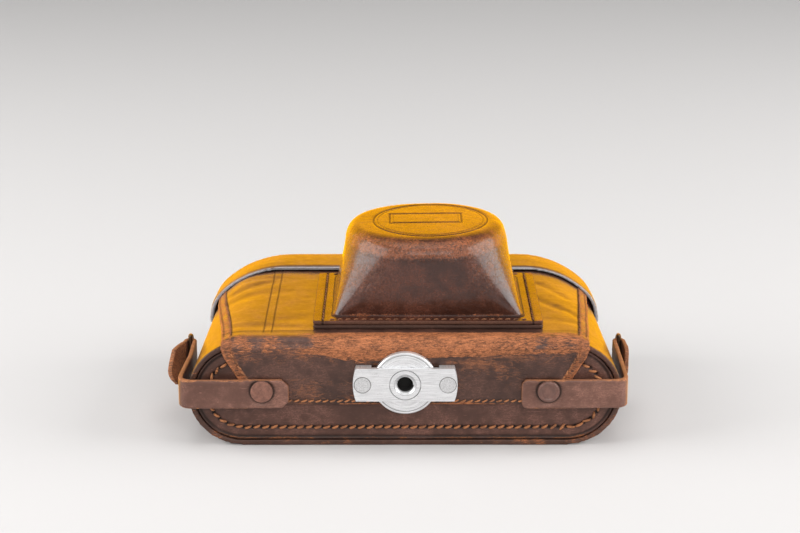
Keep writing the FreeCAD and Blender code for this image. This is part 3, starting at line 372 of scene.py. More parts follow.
class Shader:
    """A Principled material whose textures work in object millimetres."""

    def __init__(self, name):
        self.material = bpy.data.materials.new(name)
        self.material.use_nodes = True
        self.tree = self.material.node_tree
        self.tree.nodes.clear()
        output = self.tree.nodes.new("ShaderNodeOutputMaterial")
        self.principled = self.tree.nodes.new("ShaderNodeBsdfPrincipled")
        self.tree.links.new(self.principled.outputs[0], output.inputs[0])
        position = self.node("TexCoord", output="Object")
        self.point = self.node("VectorMath", {0: position, "Scale": 1000.0}, operation="SCALE")

    @cached_property
    def axes(self):
        split = self.node("SeparateXYZ", {0: self.point}).socket.node
        return [Field(self, socket) for socket in split.outputs]

    def put(self, socket, value):
        if isinstance(value, Field):
            self.tree.links.new(value.socket, socket)
        elif isinstance(value, tuple) and len(socket.default_value) == 4:
            socket.default_value = (*value, 1.0)
        elif value is not None:
            socket.default_value = value

    def node(self, kind, inputs=(), output=0, **settings):
        made = self.tree.nodes.new("ShaderNode" + kind)
        for key, value in settings.items():
            setattr(made, key, value)
        for key, value in dict(inputs).items():
            self.put(made.inputs[key], value)
        return Field(self, made.outputs[output])

    def math(self, operation, first, second=None):
        return self.node("Math", {0: first, 1: second}, operation=operation)

    def stretch(self, scale, rotation=(0, 0, 0)):
        return self.node("Mapping", {0: self.point, "Scale": scale, "Rotation": rotation})

    def noise(self, scale, detail, rough, vector=None, distortion=0.0):
        return self.node("TexNoise", {"Vector": vector or self.point, "Scale": scale,
                                      "Detail": detail, "Roughness": rough,
                                      "Distortion": distortion})

    def cells(self, scale, feature="F1", vector=None):
        return self.node("TexVoronoi", {"Vector": vector or self.point, "Scale": scale},
                         output="Distance", feature=feature)

    def mix(self, share, first, second):
        """Blend two colours."""
        return self.node("Mix", {0: share, 6: first, 7: second}, output=2, data_type="RGBA")

    def blend(self, share, first, second):
        """Blend two values."""
        return self.node("Mix", {0: share, 2: first, 3: second}, data_type="FLOAT")

    def attribute(self, name):
        return self.node("Attribute", output="Fac", attribute_name=name)

    def bump(self, height, depth, strength, normal=None):
        return self.node("Bump", {"Strength": strength, "Distance": depth * MM,
                                  "Height": height, "Normal": normal})

    def finish(self, **inputs):
        for key, value in inputs.items():
            self.put(self.principled.inputs[key.replace("_", " ")], value)
        return self.material


def shade(color, factor):
    return tuple(min(1, c * factor) for c in color)


# ---- materials
def panel_grooves(mat):
    """Two upright lines at the front panel's left, and two along each side hem."""
    x, y, z = mat.axes
    masks = []
    for at in (-51.5, -48.5):
        on_panel = x.line(at, half=0.40) * (z.step(40.6, 41.2) * y.step(-44.5, -43.0))
        masks.append(on_panel * 0.62)
    for at, half, depth in ((66.9, 0.45, 0.9), (69.6, 0.35, 0.55)):
        hem = (mat.attribute("hem_c") * 100.0).line(at, half)
        masks.append(hem * y.step(-46.5, -45.5) * depth)
    return masks


def nose_grooves(mat):
    """The flange's side seams, and the rings and rectangles on the nose's top."""
    x, y, z = mat.axes
    seam = abs(x - NOSE_X).line(FLANGE_SEAM, half=0.42)
    masks = [seam * (1.0 - z.step(45.3, 45.8)) * 1.0]
    for at, half, depth in zip(RING_RADII, (0.30, 0.38), (0.25, 0.55)):
        across, up = x - RING_X, y - NOSE_Y
        radius = (across * across + up * up).sqrt()
        masks.append(radius.line(at, half) * z.step(69.5, 70.5) * depth)
    for inset, half, depth in ((0.0, 0.42, 0.55), (1.2, 0.30, 0.25)):
        across, up = abs(x - TABLET_X), abs(y - TABLET_Y)
        outside = (across - (TABLET_HALF[0] - inset)).max(up - (TABLET_HALF[1] - inset))
        masks.append(outside.line(0.0, half) * z.step(72.0, 73.0) * depth)
    return masks


def leather(name, dark, mid, worn, raw=(0.150, 0.070, 0.045), rough=0.34, coat=0.35,
            coat_rough=0.22, specular=0.30, grain=1.0, crackle=0.5, wrinkle=1.0,
            stretch=(0.32, 1.25, 1.25), dull=None, grooves=None):
    """Aged leather driven by the wear, edge, dirt and patina attributes; the dirt attribute mostly
    paints shade into seams, grooves, holes, under lips and round rivets.

    stretch scales the fibre noises; dull is the polish lost on the nose's flange and top;
    grooves(shader) gives the masks of pressed lines.
    """
    mat = Shader(name)
    wear, edge, dirt, patina = map(mat.attribute, ("wear", "edge", "dirt", "patina"))
    # noises, from clouds tens of millimetres wide down to grain
    cloud = mat.noise(0.035, 3, 0.6)
    mottle = mat.noise(0.22, 5, 0.6)
    fine = mat.noise(1.4, 6, 0.7)
    fibre = mat.noise(1.9, 7, 0.72, mat.stretch(stretch), distortion=0.9)
    strand = mat.noise(0.75, 5, 0.65, mat.stretch(stretch), distortion=1.6)
    pores = mat.cells(1.55)
    # crack networks, bent by noise so that their cells are not straight
    bend = mat.noise(0.6, 3, 0.6)
    offset = mat.node("CombineXYZ", enumerate([(bend - 0.5) * k for k in (3.0, 2.2, 2.6)]))
    along_fibre = mat.stretch((stretch[0] * 1.1, stretch[1] * 0.9, stretch[2] * 0.9))
    warped = mat.node("VectorMath", {0: along_fibre, 1: offset}, operation="ADD")
    crack_mid, crack_big, crack_huge, crack_fine = (
        mat.cells(scale, "DISTANCE_TO_EDGE", warped) for scale in (0.95, 0.42, 0.23, 2.1))
    # where the finish is rubbed through: the painted mask broken up by streaks
    rubbed = wear + (mottle - 0.5) * 0.55 + (strand - 0.5) * 0.70 + (fibre - 0.5) * 0.55
    rubbed = rubbed.step(0.42, 0.66) * wear.step(0.02, 0.10)
    crack = 1.0 - crack_mid.step(0.0, 0.10)
    # sound finish, with scratches and hairline cracks
    sound = mat.mix((cloud * 0.6 + mottle * 0.45).step(0.3, 0.75), dark, mid)
    sound = mat.mix(fine.step(0.55, 0.8) * 0.35, sound, shade(mid, 1.35))
    scratch = mat.noise(0.8, 3, 0.5, mat.stretch((0.35, 3.2, 3.2), (0.2, 0.5, 0.3)),
                        distortion=0.6).step(0.64, 0.72)
    zone = (cloud * 0.5 + mottle * 0.5).step(0.44, 0.60)
    hair = (crack_mid.step(0.075, 0.01) * zone).max(crack_fine.step(0.09, 0.0) * (zone * 0.6))
    sound = mat.mix(scratch * 0.38, sound, shade(mid, 2.6))
    sound = mat.mix(hair * crackle, sound, shade(mid, 2.8))
    # rubbed leather: fibres, remains of finish between them, and bare patches
    bared = mat.mix(fibre.step(0.40, 0.60), shade(worn, 0.34), worn)
    bared = mat.mix(strand.step(0.50, 0.66) * 0.7, bared, shade(worn, 1.45))
    bare = wear.step(0.70, 1.0)
    gaps = (strand * 0.55 + fibre * 0.45).step(0.485, 0.41)
    bared = mat.mix(gaps * (0.9 - bare * 0.62), bared, dark)
    bared = mat.mix(bare * mottle.step(0.40, 0.66) * 0.55, bared, shade(worn, 1.30))
    bared = mat.mix(crack * 0.55, bared, shade(dark, 1.2))
    # patina: the finish has thinned and crazed, but is not rubbed through
    thinned = patina + ((mottle - 0.5) * 0.6 + (strand - 0.5) * 0.5)
    thinned = thinned.step(0.25, 0.75) * patina.step(0.0, 0.3)
    thin_color = mat.mix(fibre.step(0.35, 0.65), shade(worn, 0.36), shade(worn, 0.66))
    craze = crack_mid.step(0.10, 0.0).max(crack_fine.step(0.12, 0.0) * 0.8)
    broad = crack_big.step(0.075, 0.0).max(crack_huge.step(0.045, 0.0) * mottle.step(0.42, 0.58))
    broad = broad * patina.step(0.02, 0.35)
    craze_color = mat.mix(strand.step(0.45, 0.55), shade(dark, 1.1), shade(worn, 1.15))
    thin_color = mat.mix(craze * 0.6, thin_color, craze_color)
    sound = mat.mix(thinned * 0.85, sound, thin_color)
    broad_color = mat.mix(strand.step(0.47, 0.55), shade(dark, 0.75), shade(worn, 0.62))
    sound = mat.mix(broad * 0.62, sound, broad_color)
    color = mat.mix(rubbed, sound, bared)
    # cut edges, and the dirt attribute: mostly painted shade in seams, grooves, holes, under lips
    # and round rivets, with some dark marks of the leather's own
    raw_color = mat.mix(mat.noise(2.2, 5, 0.7).step(0.3, 0.75), raw, shade(raw, 0.45))
    color = mat.mix(edge * 0.85, color, raw_color)
    color = mat.mix(dirt * 0.9, color, (0.008, 0.0055, 0.0045))
    # heights: grain, lumps and wrinkles under the patina, cracks, fibres, scratches
    height = pores * (0.30 * grain) + fine * (0.5 * grain) - broad * 2.4
    lumps = mat.noise(0.85, 3, 0.55, distortion=1.2) * 2.2
    height = height + lumps * patina.step(0.02, 0.30)
    wrinkles = mat.noise(0.62, 4, 0.6, warped) * wrinkle
    height = height + wrinkles * patina.step(0.02, 0.30)
    height = height + crack_mid.step(0.0, 0.12) * (rubbed * 0.7 + 0.25 * crackle)
    height = height + fibre * rubbed * 2.2 - craze * thinned * 0.9
    height = height - hair * (0.5 * crackle) - scratch * 0.2
    if dull:
        # the nose's top and flange are smoother than its walls
        z = mat.axes[2]
        flat = (z.step(72.4, 74.2) * 0.88).max((1.0 - z.step(45.2, 45.9)) * 0.7)
        height = height * (1.0 - flat)
    normal = mat.bump(mat.noise(0.30, 4, 0.6), depth=0.30, strength=0.35)
    normal = mat.bump(height, depth=0.08, strength=0.6, normal=normal)
    # roughness: raised wherever the finish is damaged
    roughness = (rough - 0.10) + mat.noise(0.5, 4, 0.6) * 0.22
    for share, value in ((scratch * 0.5, 0.6), (rubbed, 0.62), (edge, 0.8), (dirt, 0.8)):
        roughness = mat.blend(share, roughness, value)
    polish = (1.0 - rubbed * 0.75) * (1.0 - edge) * coat
    if grooves:
        groove = reduce(Field.max, grooves(mat))
        normal = mat.bump(1.0 - groove, depth=0.5, strength=1.0, normal=normal)
        # painted shade in the pressed lines, on top of the bump that sinks them
        color = mat.mix(groove * 0.75, color, shade(dark, 0.25))
        roughness = mat.blend(groove * 0.8, roughness, 0.8)
        polish = polish * (1.0 - groove * 0.9)
    if dull:
        flat = (1.0 - z.step(45.2, 45.9)) * dull[0] + z.step(72.6, 74.2) * dull[1]
        polish = polish * (1.0 - flat)
        specular = (1.0 - flat * 0.55) * specular
    return mat.finish(Base_Color=color, Roughness=roughness, Normal=normal, Coat_Weight=polish,
                      Coat_Roughness=coat_rough, Coat_IOR=1.36, Specular_IOR_Level=specular)


# how the metals' streak noise is stretched
BRUSHED_X, BRUSHED_Y, UNBRUSHED = (0.10, 5, 5), (5, 0.10, 5), (2, 2, 2)


def metal(name, color, rough, dirt, brush=UNBRUSHED, scratch=0.8, metallicness=1.0, disc=False):
    """Scratched, spotted metal. disc adds the screw disc's turning marks, and painted shade in its
    seams and bore.
    """
    mat = Shader(name)
    streak = mat.noise(1.6, 5, 0.65, mat.stretch(brush))
    if disc:
        # the disc is brushed round its own middle, the bridge along its length
        x, y, z = mat.axes
        up = z - SCREW_Z
        radius = (x * x + up * up).sqrt()
        polar = mat.node("CombineXYZ", {0: radius * 4.5, 1: mat.math("ARCTAN2", up, x) * 1.2})
        rounds = mat.noise(1.0, 4, 0.6, polar)
        streak = mat.blend(y.step(-53.7, -53.95), rounds, streak)
    spots = mat.noise(0.35, 5, 0.65)
    fine = mat.noise(3.0, 4, 0.6)
    # two sets of scratches at different angles
    first, second = (
        mat.noise(0.7, 2, 0.4, mat.stretch(scale, rotation), distortion=0.3).step(*limits)
        for scale, rotation, limits in (((5.5, 0.4, 3.0), (0.3, 0.6, 0.9), (0.66, 0.70)),
                                        ((0.4, 4.0, 5.5), (0.9, 0.2, 0.4), (0.68, 0.72))))
    scratches = first.max(second)
    grime = (spots * 0.8 + fine * 0.2).step(0.56, 0.78) * dirt
    base = mat.mix(streak.step(0.3, 0.7), color, shade(color, 0.62))
    base = mat.mix(scratches * (0.5 * scratch), base, shade(color, 0.45))
    base = mat.mix(grime, base, (0.10, 0.09, 0.08))
    roughness = rough + (streak - 0.5) * 0.3 + scratches * (0.12 * scratch)
    roughness = mat.blend(grime, roughness, 0.7)
    metallic = mat.blend(grime, 1.0, 0.3)
    height = streak * 0.9 + (fine * 0.25 + scratches * (-0.6 * scratch))
    normal = mat.bump(height, depth=0.04, strength=0.7)
    if disc:
        # painted shade: dark outlines in the seams round the bridge rivets, the hub and the disc's
        # rim
        side = abs(x)
        from_rivet = ((side - BRIDGE_RIVET_X) * (side - BRIDGE_RIVET_X) + up * up).sqrt()
        seam = from_rivet.line(2.92, 0.26) * y.step(-54.9, -55.0)
        hub = radius.line(3.95, 0.14) * y.step(-54.9, -55.0)
        rim = radius.line(10.75, 0.24) * (y.step(-53.3, -53.45) * y.step(-53.95, -53.75))
        lines = seam.max((hub * 0.5).max(rim * 0.6))
        base = mat.mix(lines * 0.85, base, (0.09, 0.085, 0.08))
        # the bore is dark and dull: painted shade inside the hole
        bore = (1.0 - radius.step(3.05, 3.3)) * y.step(-54.5, -53.4)
        base = mat.mix(bore, base, (0.015, 0.013, 0.012))
        metallic = mat.blend(bore, metallic, 0.2)
        roughness = mat.blend(bore, roughness, 0.7)
        normal = mat.bump(1.0 - lines, depth=0.15, strength=0.9, normal=normal)
    return mat.finish(Base_Color=base, Metallic=metallic * metallicness, Roughness=roughness,
                      Normal=normal)


def paint(name, color, rough, chip, chips, pebble=0.0):
    """Lacquer with chips of another colour, and pebbles if asked for."""
    mat = Shader(name)
    mottle, fine = mat.noise(0.5, 5, 0.6), mat.noise(3.5, 5, 0.65)
    pebbles = mat.cells(2.6)
    chipped = (mottle * 0.6 + fine * 0.4).step(0.64, 0.72) * chips
    base = mat.mix(mottle.step(0.3, 0.7), color, shade(color, 0.62))
    base = mat.mix(chipped, base, chip)
    height = fine * 0.4 + (0.6 - pebbles) * pebble
    return mat.finish(Base_Color=base, Roughness=(rough - 0.1) + mottle * 0.25,
                      Normal=mat.bump(height, depth=0.09, strength=0.7),
                      Metallic=chipped * 0.6, Coat_Weight=0.15)


def velvet(name, color):
    mat = Shader(name)
    pile = mat.noise(6.0, 3, 0.7)
    nap = mat.noise(0.12, 4, 0.6)
    base = mat.mix(nap.step(0.3, 0.7), color, shade(color, 0.5))
    base = mat.mix(pile.step(0.45, 0.7) * 0.5, base, shade(color, 1.7))
    return mat.finish(Base_Color=base, Roughness=0.92, Sheen_Weight=0.6, Sheen_Roughness=0.4,
                      Normal=mat.bump(pile, depth=0.25, strength=0.8))


def covering(name):
    """The camera body's black grained covering."""
    mat = Shader(name)
    coarse, small = mat.cells(0.9), mat.cells(2.4)
    fine = mat.noise(2.5, 4, 0.6)
    height = (0.7 - coarse) * 0.9 + small * -0.35
    base = mat.mix(coarse.step(0.25, 0.6), (0.030, 0.029, 0.028), (0.012, 0.012, 0.012))
    return mat.finish(Base_Color=base, Roughness=0.42 + fine * 0.2,
                      Normal=mat.bump(height, depth=0.28, strength=0.8))


def thread(name, color, dark):
    mat = Shader(name)
    twist = mat.noise(1.5, 3, 0.5, mat.stretch((2.2, 2.2, 2.2), (0.4, 0.7, 0.2)))
    fuzz = mat.noise(5.0, 4, 0.7)
    grime = mat.noise(0.16, 4, 0.6)
    base = mat.mix(fuzz.step(0.35, 0.7), color, shade(color, 0.55))
    base = mat.mix(grime.step(0.45, 0.68) * 0.75, base, dark)
    height = twist * 0.6 + fuzz * 0.4
    return mat.finish(Base_Color=base, Roughness=0.75,
                      Normal=mat.bump(height, depth=0.12, strength=0.9))


def lens_glass(name, tint):
    """Dusty coated glass."""
    mat = Shader(name)
    dust = mat.noise(2.2, 5, 0.7).step(0.66, 0.74)
    return mat.finish(Base_Color=mat.mix(dust * 0.35, tint, (0.6, 0.6, 0.6)),
                      Roughness=mat.blend(dust, 0.04, 0.35), IOR=1.6, Specular_IOR_Level=0.9,
                      Coat_Weight=0.8, Coat_Roughness=0.04, Coat_Tint=(0.75, 0.55, 1.0),
                      Normal=mat.bump(mat.noise(0.4, 2, 0.5), depth=0.01, strength=0.3))


BROWN = dict(dark=(0.036, 0.0150, 0.0100), mid=(0.082, 0.036, 0.025), worn=(0.455, 0.158, 0.060))
MATERIALS = {
    "panel": leather("leather_front", **BROWN, grooves=panel_grooves),
    "case": leather("leather_case", **BROWN),
    # painted light: the bottom panel's leather is lighter than the case leather, standing in for
    # the sheen it catches from the bright front
    "bottom": leather("leather_bottom", dark=(0.068, 0.030, 0.021), mid=(0.122, 0.055, 0.040),
                      worn=(0.42, 0.15, 0.055), rough=0.40, coat=0.18, specular=0.27),
    "nose": leather("leather_nose", dark=(0.040, 0.0122, 0.0068), mid=(0.064, 0.0205, 0.0116),
                    worn=(0.42, 0.130, 0.050), rough=0.25, coat=0.76, coat_rough=0.185,
                    specular=0.31, grain=0.5, crackle=0.9, wrinkle=7.5,
                    stretch=(1.0, 1.0, 1.0), dull=(0.75, 0.60), grooves=nose_grooves),
    # the cap's raw colour is pale grey: a painted highlight along the cut edge of its lip
    "cap": leather("leather_cap", **BROWN, raw=(0.58, 0.56, 0.57)),
    "backing": leather("leather_backing", **BROWN, raw=(0.105, 0.048, 0.032)),
    "strap": leather("leather_strap", dark=(0.108, 0.047, 0.033), mid=(0.205, 0.096, 0.069),
                     worn=(0.50, 0.200, 0.086), raw=(0.40, 0.165, 0.072), rough=0.42,
                     coat=0.25, specular=0.3, crackle=0.35),
    "velvet": velvet("velvet_lining", color=(0.16, 0.025, 0.035)),
    "alu": metal("aluminium_plate", (0.945, 0.95, 0.965), rough=0.36, dirt=0.40,
                 brush=BRUSHED_X, scratch=0.9, metallicness=0.72, disc=True),
    "alu_rivet": metal("aluminium_rivet", (0.80, 0.80, 0.81), rough=0.34, dirt=0.45,
                       metallicness=0.72),
    "steel": metal("steel_parts", (0.52, 0.52, 0.53), rough=0.36, dirt=0.4,
                   brush=BRUSHED_Y, scratch=0.5),
    "bronze": metal("bronzed_ring", (0.16, 0.11, 0.075), rough=0.42, dirt=0.5),
    "nickel": metal("nickel_snap", (0.66, 0.63, 0.58), rough=0.24, dirt=0.4),
    "snap_cap": paint("snap_lacquer", (0.150, 0.072, 0.050), rough=0.42,
                      chip=(0.30, 0.22, 0.16), chips=0.4),
    "rivet": paint("rivet_lacquer", (0.185, 0.084, 0.062), rough=0.36,
                   chip=(0.32, 0.20, 0.14), chips=0.5),
    "rivet_rough": paint("rivet_pebbled", (0.270, 0.112, 0.074), rough=0.62,
                         chip=(0.42, 0.30, 0.26), chips=0.8, pebble=2.2),
    "alloy": paint("camera_alloy", (0.020, 0.020, 0.020), rough=0.5,
                   chip=(0.25, 0.25, 0.25), chips=0.3),
    "chrome": metal("satin_chrome", (0.70, 0.70, 0.69), rough=0.26, dirt=0.15, scratch=0.5),
    "chrome_turned": metal("turned_chrome", (0.68, 0.68, 0.67), rough=0.22, dirt=0.18,
                           scratch=0.4),
    "leatherette": covering("leatherette"),
    "black": paint("black_enamel", (0.012, 0.012, 0.013), rough=0.32,
                   chip=(0.45, 0.36, 0.2), chips=0.35),
    "brass": metal("brass_bush", (0.62, 0.43, 0.17), rough=0.3, dirt=0.3, scratch=0.5),
    "glass": lens_glass("coated_glass", tint=(0.020, 0.022, 0.040)),
    "thread": thread("waxed_thread", (0.52, 0.200, 0.074), dark=(0.070, 0.028, 0.016)),
    "thread_dark": thread("waxed_thread_dark", (0.30, 0.115, 0.048), dark=(0.03, 0.014, 0.008)),
}

# ---- CAD pieces that keep their shape: material, then node names
CAD_LOOK = {
    "alu": "screw_bridge retaining_screw",
    "alu_rivet": "bridge_rivets",
    "steel": "rivet_washers backing_plate pressure_plate shutter_blind base_screws"
             " rewind_fork dial_spindle",
    "bronze": "ring_left ring_right",
    "nickel": "snap_stud",
    "snap_cap": "snap_socket",
    "alloy": "camera_body",
    "chrome": "top_cover base_plate accessory_shoe strap_lugs lens_mount",
    "chrome_turned": "wind_knob rewind_knob release_button speed_dial focus_ring"
                     " aperture_ring lens_barrel",
    "leatherette": "body_covering camera_back",
    "black": "takeup_spool film_sprocket lens_rim iris_blades",
    "brass": "tripod_bush",
    "glass": "finder_window eyepiece front_glass rear_glass",
}
EDGE_WIDTH = 0.22
FINE_EDGES = {
    **dict.fromkeys(("screw_bridge", "retaining_screw", "bridge_rivets"), 0.05),
    **dict.fromkeys(("wind_knob", "rewind_knob", "speed_dial", "focus_ring", "aperture_ring"),
                    0.12),
}


def dress_cad_pieces():
    for key, names in CAD_LOOK.items():
        for name in names.split():
            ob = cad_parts[name]
            ob.data.materials.clear()
            ob.data.materials.append(MATERIALS[key])
            if key == "glass":
                continue
            bevel = ob.modifiers.new("edge", "BEVEL")
            bevel.width = FINE_EDGES.get(name, EDGE_WIDTH) * MM
            bevel.segments = 2
            bevel.limit_method = "ANGLE"
            bevel.angle_limit = math.radians(32)


# ---- back shell
def build_shell():
    shell = resurfaced("leather_shell", ["back_shell"], voxel=0.62, rounds=3, material="case")
    points, normals, along = surface(shell)
    points = relief(points, normals, 0.16, size=(14, 22, 14), seed=11)
    set_coords(shell, points)
    rim_wear = np.where(along < 2.6, 0.40 + 0.30 * fractal(points, 9, 3), 0.0)
    patches = step(0.75, 1.0, fractal(points, 16, 5, 3) + 0.45)
    set_masks(shell,
              edge=((along < 0.9) & (normals[:, 1] < -0.45)) * 0.35,
              wear=rim_wear * step(3.4, 0.4, along) + 0.34 * patches,
              # dirt here is painted shade along the shell's low rim, where it meets the bottom
              # panel
              dirt=((along < 0.5) & (np.abs(normals[:, 1]) < 0.5)) * 0.3)
    assign(shell, ROOT, LEATHER_SLOT, "back_shell")


# ---- bottom panel with its pressed rim groove
def rim_stitch_path():
    """The stitch line round the bottom panel's two ends and lower side."""
    radius = END_RADIUS - RIM_STITCH_INSET

    def arc(centre_x, start, end):
        return [(centre_x + radius * math.cos(math.radians(angle)), y_at(0.32),
                 END_RADIUS + radius * math.sin(math.radians(angle)))
                for angle in np.linspace(start, end, 40)]

    straight = [(x, y_at(0.32), RIM_STITCH_INSET) for x in np.linspace(-59, 59, 60)]
    return arc(-END_X, 100, 270) + straight + arc(END_X, -90, 80)


def build_bottom_panel():
    panel = resurfaced("leather_bottom_panel", ["bottom_panel"], voxel=0.42, rounds=2,
                       material="bottom")
    points, normals, _ = surface(panel)
    # distance inwards from the panel's outline
    beyond = np.maximum(np.abs(points[:, 0]) - END_X, 0)
    inset = END_RADIUS - np.hypot(beyond, points[:, 2] - END_RADIUS)
    outside = step(0.5, 0.9, -normals[:, 1])
    groove = bump_at(inset, 3.35, 0.55) * outside
    stitch_bed = bump_at(inset, RIM_STITCH_INSET, 0.75) * outside
    points = relief(points, normals, 0.10, size=(16, 16, 12), seed=21)
    x, y, z = points.T
    ridge = outside * step(2.2, 2.7, inset) * step(3.3, 2.9, inset)
    y += (0.42 * groove + 0.22 * stitch_bed) - 0.28 * ridge
    # a small hollow at each stitch hole
    gap = np.full(len(points), 9.0)
    beside = np.where(outside * (np.abs(inset - RIM_STITCH_INSET) < 1.6))[0]
    for hole in resample(rim_stitch_path(), RIM_STITCH_PITCH):
        gap[beside] = np.minimum(gap[beside], np.hypot(x[beside] - hole[0], z[beside] - hole[2]))
    holes = step(0.95, 0.45, gap)
    y += 0.35 * holes
    set_coords(panel, points)
    rim_wear = 0.55 * bump_at(inset, 2.7, 0.5) * (0.6 + 0.7 * fractal(points, 8, 9))
    set_masks(panel, edge=0.0,
              # dirt here: painted shade in the groove, along the stitch bed and in the stitch
              # holes, and darker along the outer band
              dirt=0.9 * groove + 0.30 * stitch_bed + holes + 0.8 * outside * step(2.9, 2.2, inset),
              wear=outside * (rim_wear + 0.25 * (z < 5)))
    assign(panel, ROOT, LEATHER_SLOT, "bottom_panel")


# ---- hinge flap and front panel: one hide, wrapped round the fold
# half width of the hinge flap at stations up its height
FLAP_Z = [16.5, 21.5, 34.8, 37.8]
FLAP_HALF_WIDTH = [52.0, 57.5, 65.6, FOLD_HALF_WIDTH]
# creases: start x, start along, end x, end along, width, depth
CREASES = (
    (-64, 62, -52, 66, 3.2, 0.75), (-66, 49, -46, 53, 4.2, 0.36), (-60, 73, -50, 70, 2.2, 0.40),
    (50, 44, 58, 33, 2.2, 0.45), (53, 62, 62, 50, 2.4, 0.42), (58, 36, 66, 26, 2.0, 0.35),
    (-46, 20, -38, 21, 3.0, 0.22), (53, 20, 64, 17, 3.0, 0.25), (-63, 14, -40, 12, 2.6, 0.20),
)


def flap_half_width(z):
    return np.interp(z, FLAP_Z, FLAP_HALF_WIDTH)


def panel_half_width(along):
    return FOLD_HALF_WIDTH + PANEL_FLARE * (along - PANEL_NEAR) / (PANEL_FAR - PANEL_NEAR)


def side_gap(side, z, along):
    """Distance in from the hide's side edge, for points at |x| = side."""
    return np.where(along > 3, panel_half_width(along), flap_half_width(z)) - side


def crept(x, z, along):
    """The hide has crept round the case's left shoulder towards its far end."""
    turn = 0.112 * step(10, 72, along) * step(-56.5, -67.0, x)
    out, up = -x - END_X, z - END_RADIUS
    return (-(END_X + out * np.cos(turn) + up * np.sin(turn)),
            END_RADIUS - out * np.sin(turn) + up * np.cos(turn))


def shape_hide(points, normals, along, side, soft, on_bottom):
    """Relief, creases, raised hem, sagging far edge and the creep at the left."""
    hem = step(5.2, 2.6, side_gap(side, points[:, 2], along))
    ripple = fractal(points, (13, 7, 10), 41)
    swell = fractal(points, (34, 20, 20), 42, 3)
    off_nose = step(0, 10, np.abs(points[:, 0] - NOSE_X) - 42)
    points = lift(points, normals, (0.16 * ripple + 0.34 * swell * off_nose) * soft
                  + 0.07 * ripple * (1 - soft))
    for x0, along0, x1, along1, width, depth in CREASES:
        flat = np.stack([points[:, 0], along + 0.9 * ripple], 1)
        away = segment_distance(flat, (x0, along0), (x1, along1))
        points = lift(points, normals, -depth * soft * bump_at(away, 0, width))
    points = lift(points, normals, 0.28 * hem * (soft + on_bottom))
    points[:, 2] -= 0.45 * step(74, 83, along) * step(66, 40, side) * soft
    points[:, 0], points[:, 2] = crept(points[:, 0], points[:, 2], along)
    return points


def build_hide():
    hide = resurfaced("leather_front_panel", ["hinge_flap", "front_cover"], voxel=0.46,
                      rounds=3, material="panel")
    points, normals, along = surface(hide)
    side = np.abs(points[:, 0])
    up = normals[:, 2]
    on_front = step(0.4, 0.8, up) * step(3.0, 6.0, along)
    on_bottom = step(0.4, 0.8, -normals[:, 1]) * step(1.0, -1.0, along)
    soft = step(2, 12, along) * step(0.2, 0.7, up)
    points = shape_hide(points, normals, along, side, soft, on_bottom)
    set_coords(hide, points)
    x, y, z = points.T
    rough, small, large = (fractal(points, (18, 6, 6), 51), fractal(points, 4.5, 52),
                           fractal(points, (30, 12, 12), 53))
    # the fold: rubbed raw in the middle and right, mottled at the left
    strength = (0.58 + 0.50 * step(-38, -18, x) * step(50, 30, x)
                + 0.14 * bump_at(x, 58, 9) - 0.12 * bump_at(x, -40, 10))
    low_edge = (34.9 + 1.3 * rough - 1.6 * bump_at(x, -12, 9) - 1.0 * bump_at(x, -22, 3)
                + 0.9 * step(14, 60, x) + 0.8 * step(-26, -60, x))
    fold = step(-0.5, 1.4, z - low_edge) * step(7.2, 4.4, along + 1.2 * rough)
    wear = fold * (strength + 0.26 * rough + 0.30 * small)
    # a dark line is left along the fold's top
    ridge = fold * bump_at(along, 6.3, 0.9) * (up > 0.3)
    wear = wear - 0.7 * ridge * step(-0.3, 0.3, small + 0.25)
    gap = side_gap(side, z, along)
    band = step(4.6, 3.3, gap)
    hem_streak = bump_at(gap, 0.5, 0.7) + 0.85 * bump_at(gap, HEM_INSET, 0.55)
    more_wear = (
        # runs below the fold
        on_bottom * step(29.5, 35.0, z) * (0.18 + 0.62 * bump_at(x, -16, 6)
                                           + 0.25 * bump_at(x, 22, 12) + 0.25 * rough),
        # side hems
        band * (on_bottom + step(0.1, 0.5, up)) * (0.54 + 0.34 * hem_streak + 0.30 * small),
        # the flap's low edge, and above it
        on_bottom * bump_at(z, 16.6, 0.7) * (0.30 + 0.5 * rough + 1.0 * bump_at(x, 20, 16)
                                             + 1.0 * bump_at(x, -16, 9)),
        on_bottom * step(19.0, 17.0, z) * (0.8 + 0.5 * rough)
        * (0.75 * bump_at(x, 21, 12) + 0.62 * bump_at(x, -15, 7)),
        # scattered patches
        on_front * step(0.34, 0.62, large) * 0.42,
        on_bottom * step(0.30, 0.6, large) * 0.40,
    )
    flap_patina = (0.75 * step(30.0, 35.5, z) * (0.6 + 0.8 * rough)
                   + 0.42 * step(0.0, 0.5, large))
    seam = bump_at(gap, HEM_INSET, 0.5) * (soft + on_bottom)
    crest = (bump_at(along + 0.5 * rough, 7.3, 0.55) * (up > 0.3)
             * (0.35 + 0.55 * step(-24, -36, x)) * step(70, 64, side))
    set_masks(hide,
              hem_c=(side - 0.0873 * y) / 100,
              wear=reduce(np.maximum, more_wear, wear),
              patina=on_bottom * flap_patina + 0.55 * band,
              edge=((z < 17.2) & (np.abs(up) > 0.6) & (along < 0)) * 0.8,
              # dirt here: painted shade in the hem seams, along the low stitch line and under the
              # cap's lip at the far end; the ridge and crest lines along the fold's top are the
              # leather's own dark marks
              dirt=0.35 * seam + 0.45 * on_bottom * bump_at(z, 18.1, 0.7)
              + 0.6 * step(81.6, 82.8, along) + 0.55 * ridge + crest)
    y_at(1.6) * MM
    y_at(4.6) * MM
    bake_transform(hide)
    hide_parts("hinge_flap", "front_cover")


# ---- cap
def hug(points):
    """Inward shift in x: the cap's walls lean in towards their low ends."""
    x, _, z = points.T
    return np.sign(x) * 1.9 * step(60, 70, np.abs(x)) * step(33, 22, z)


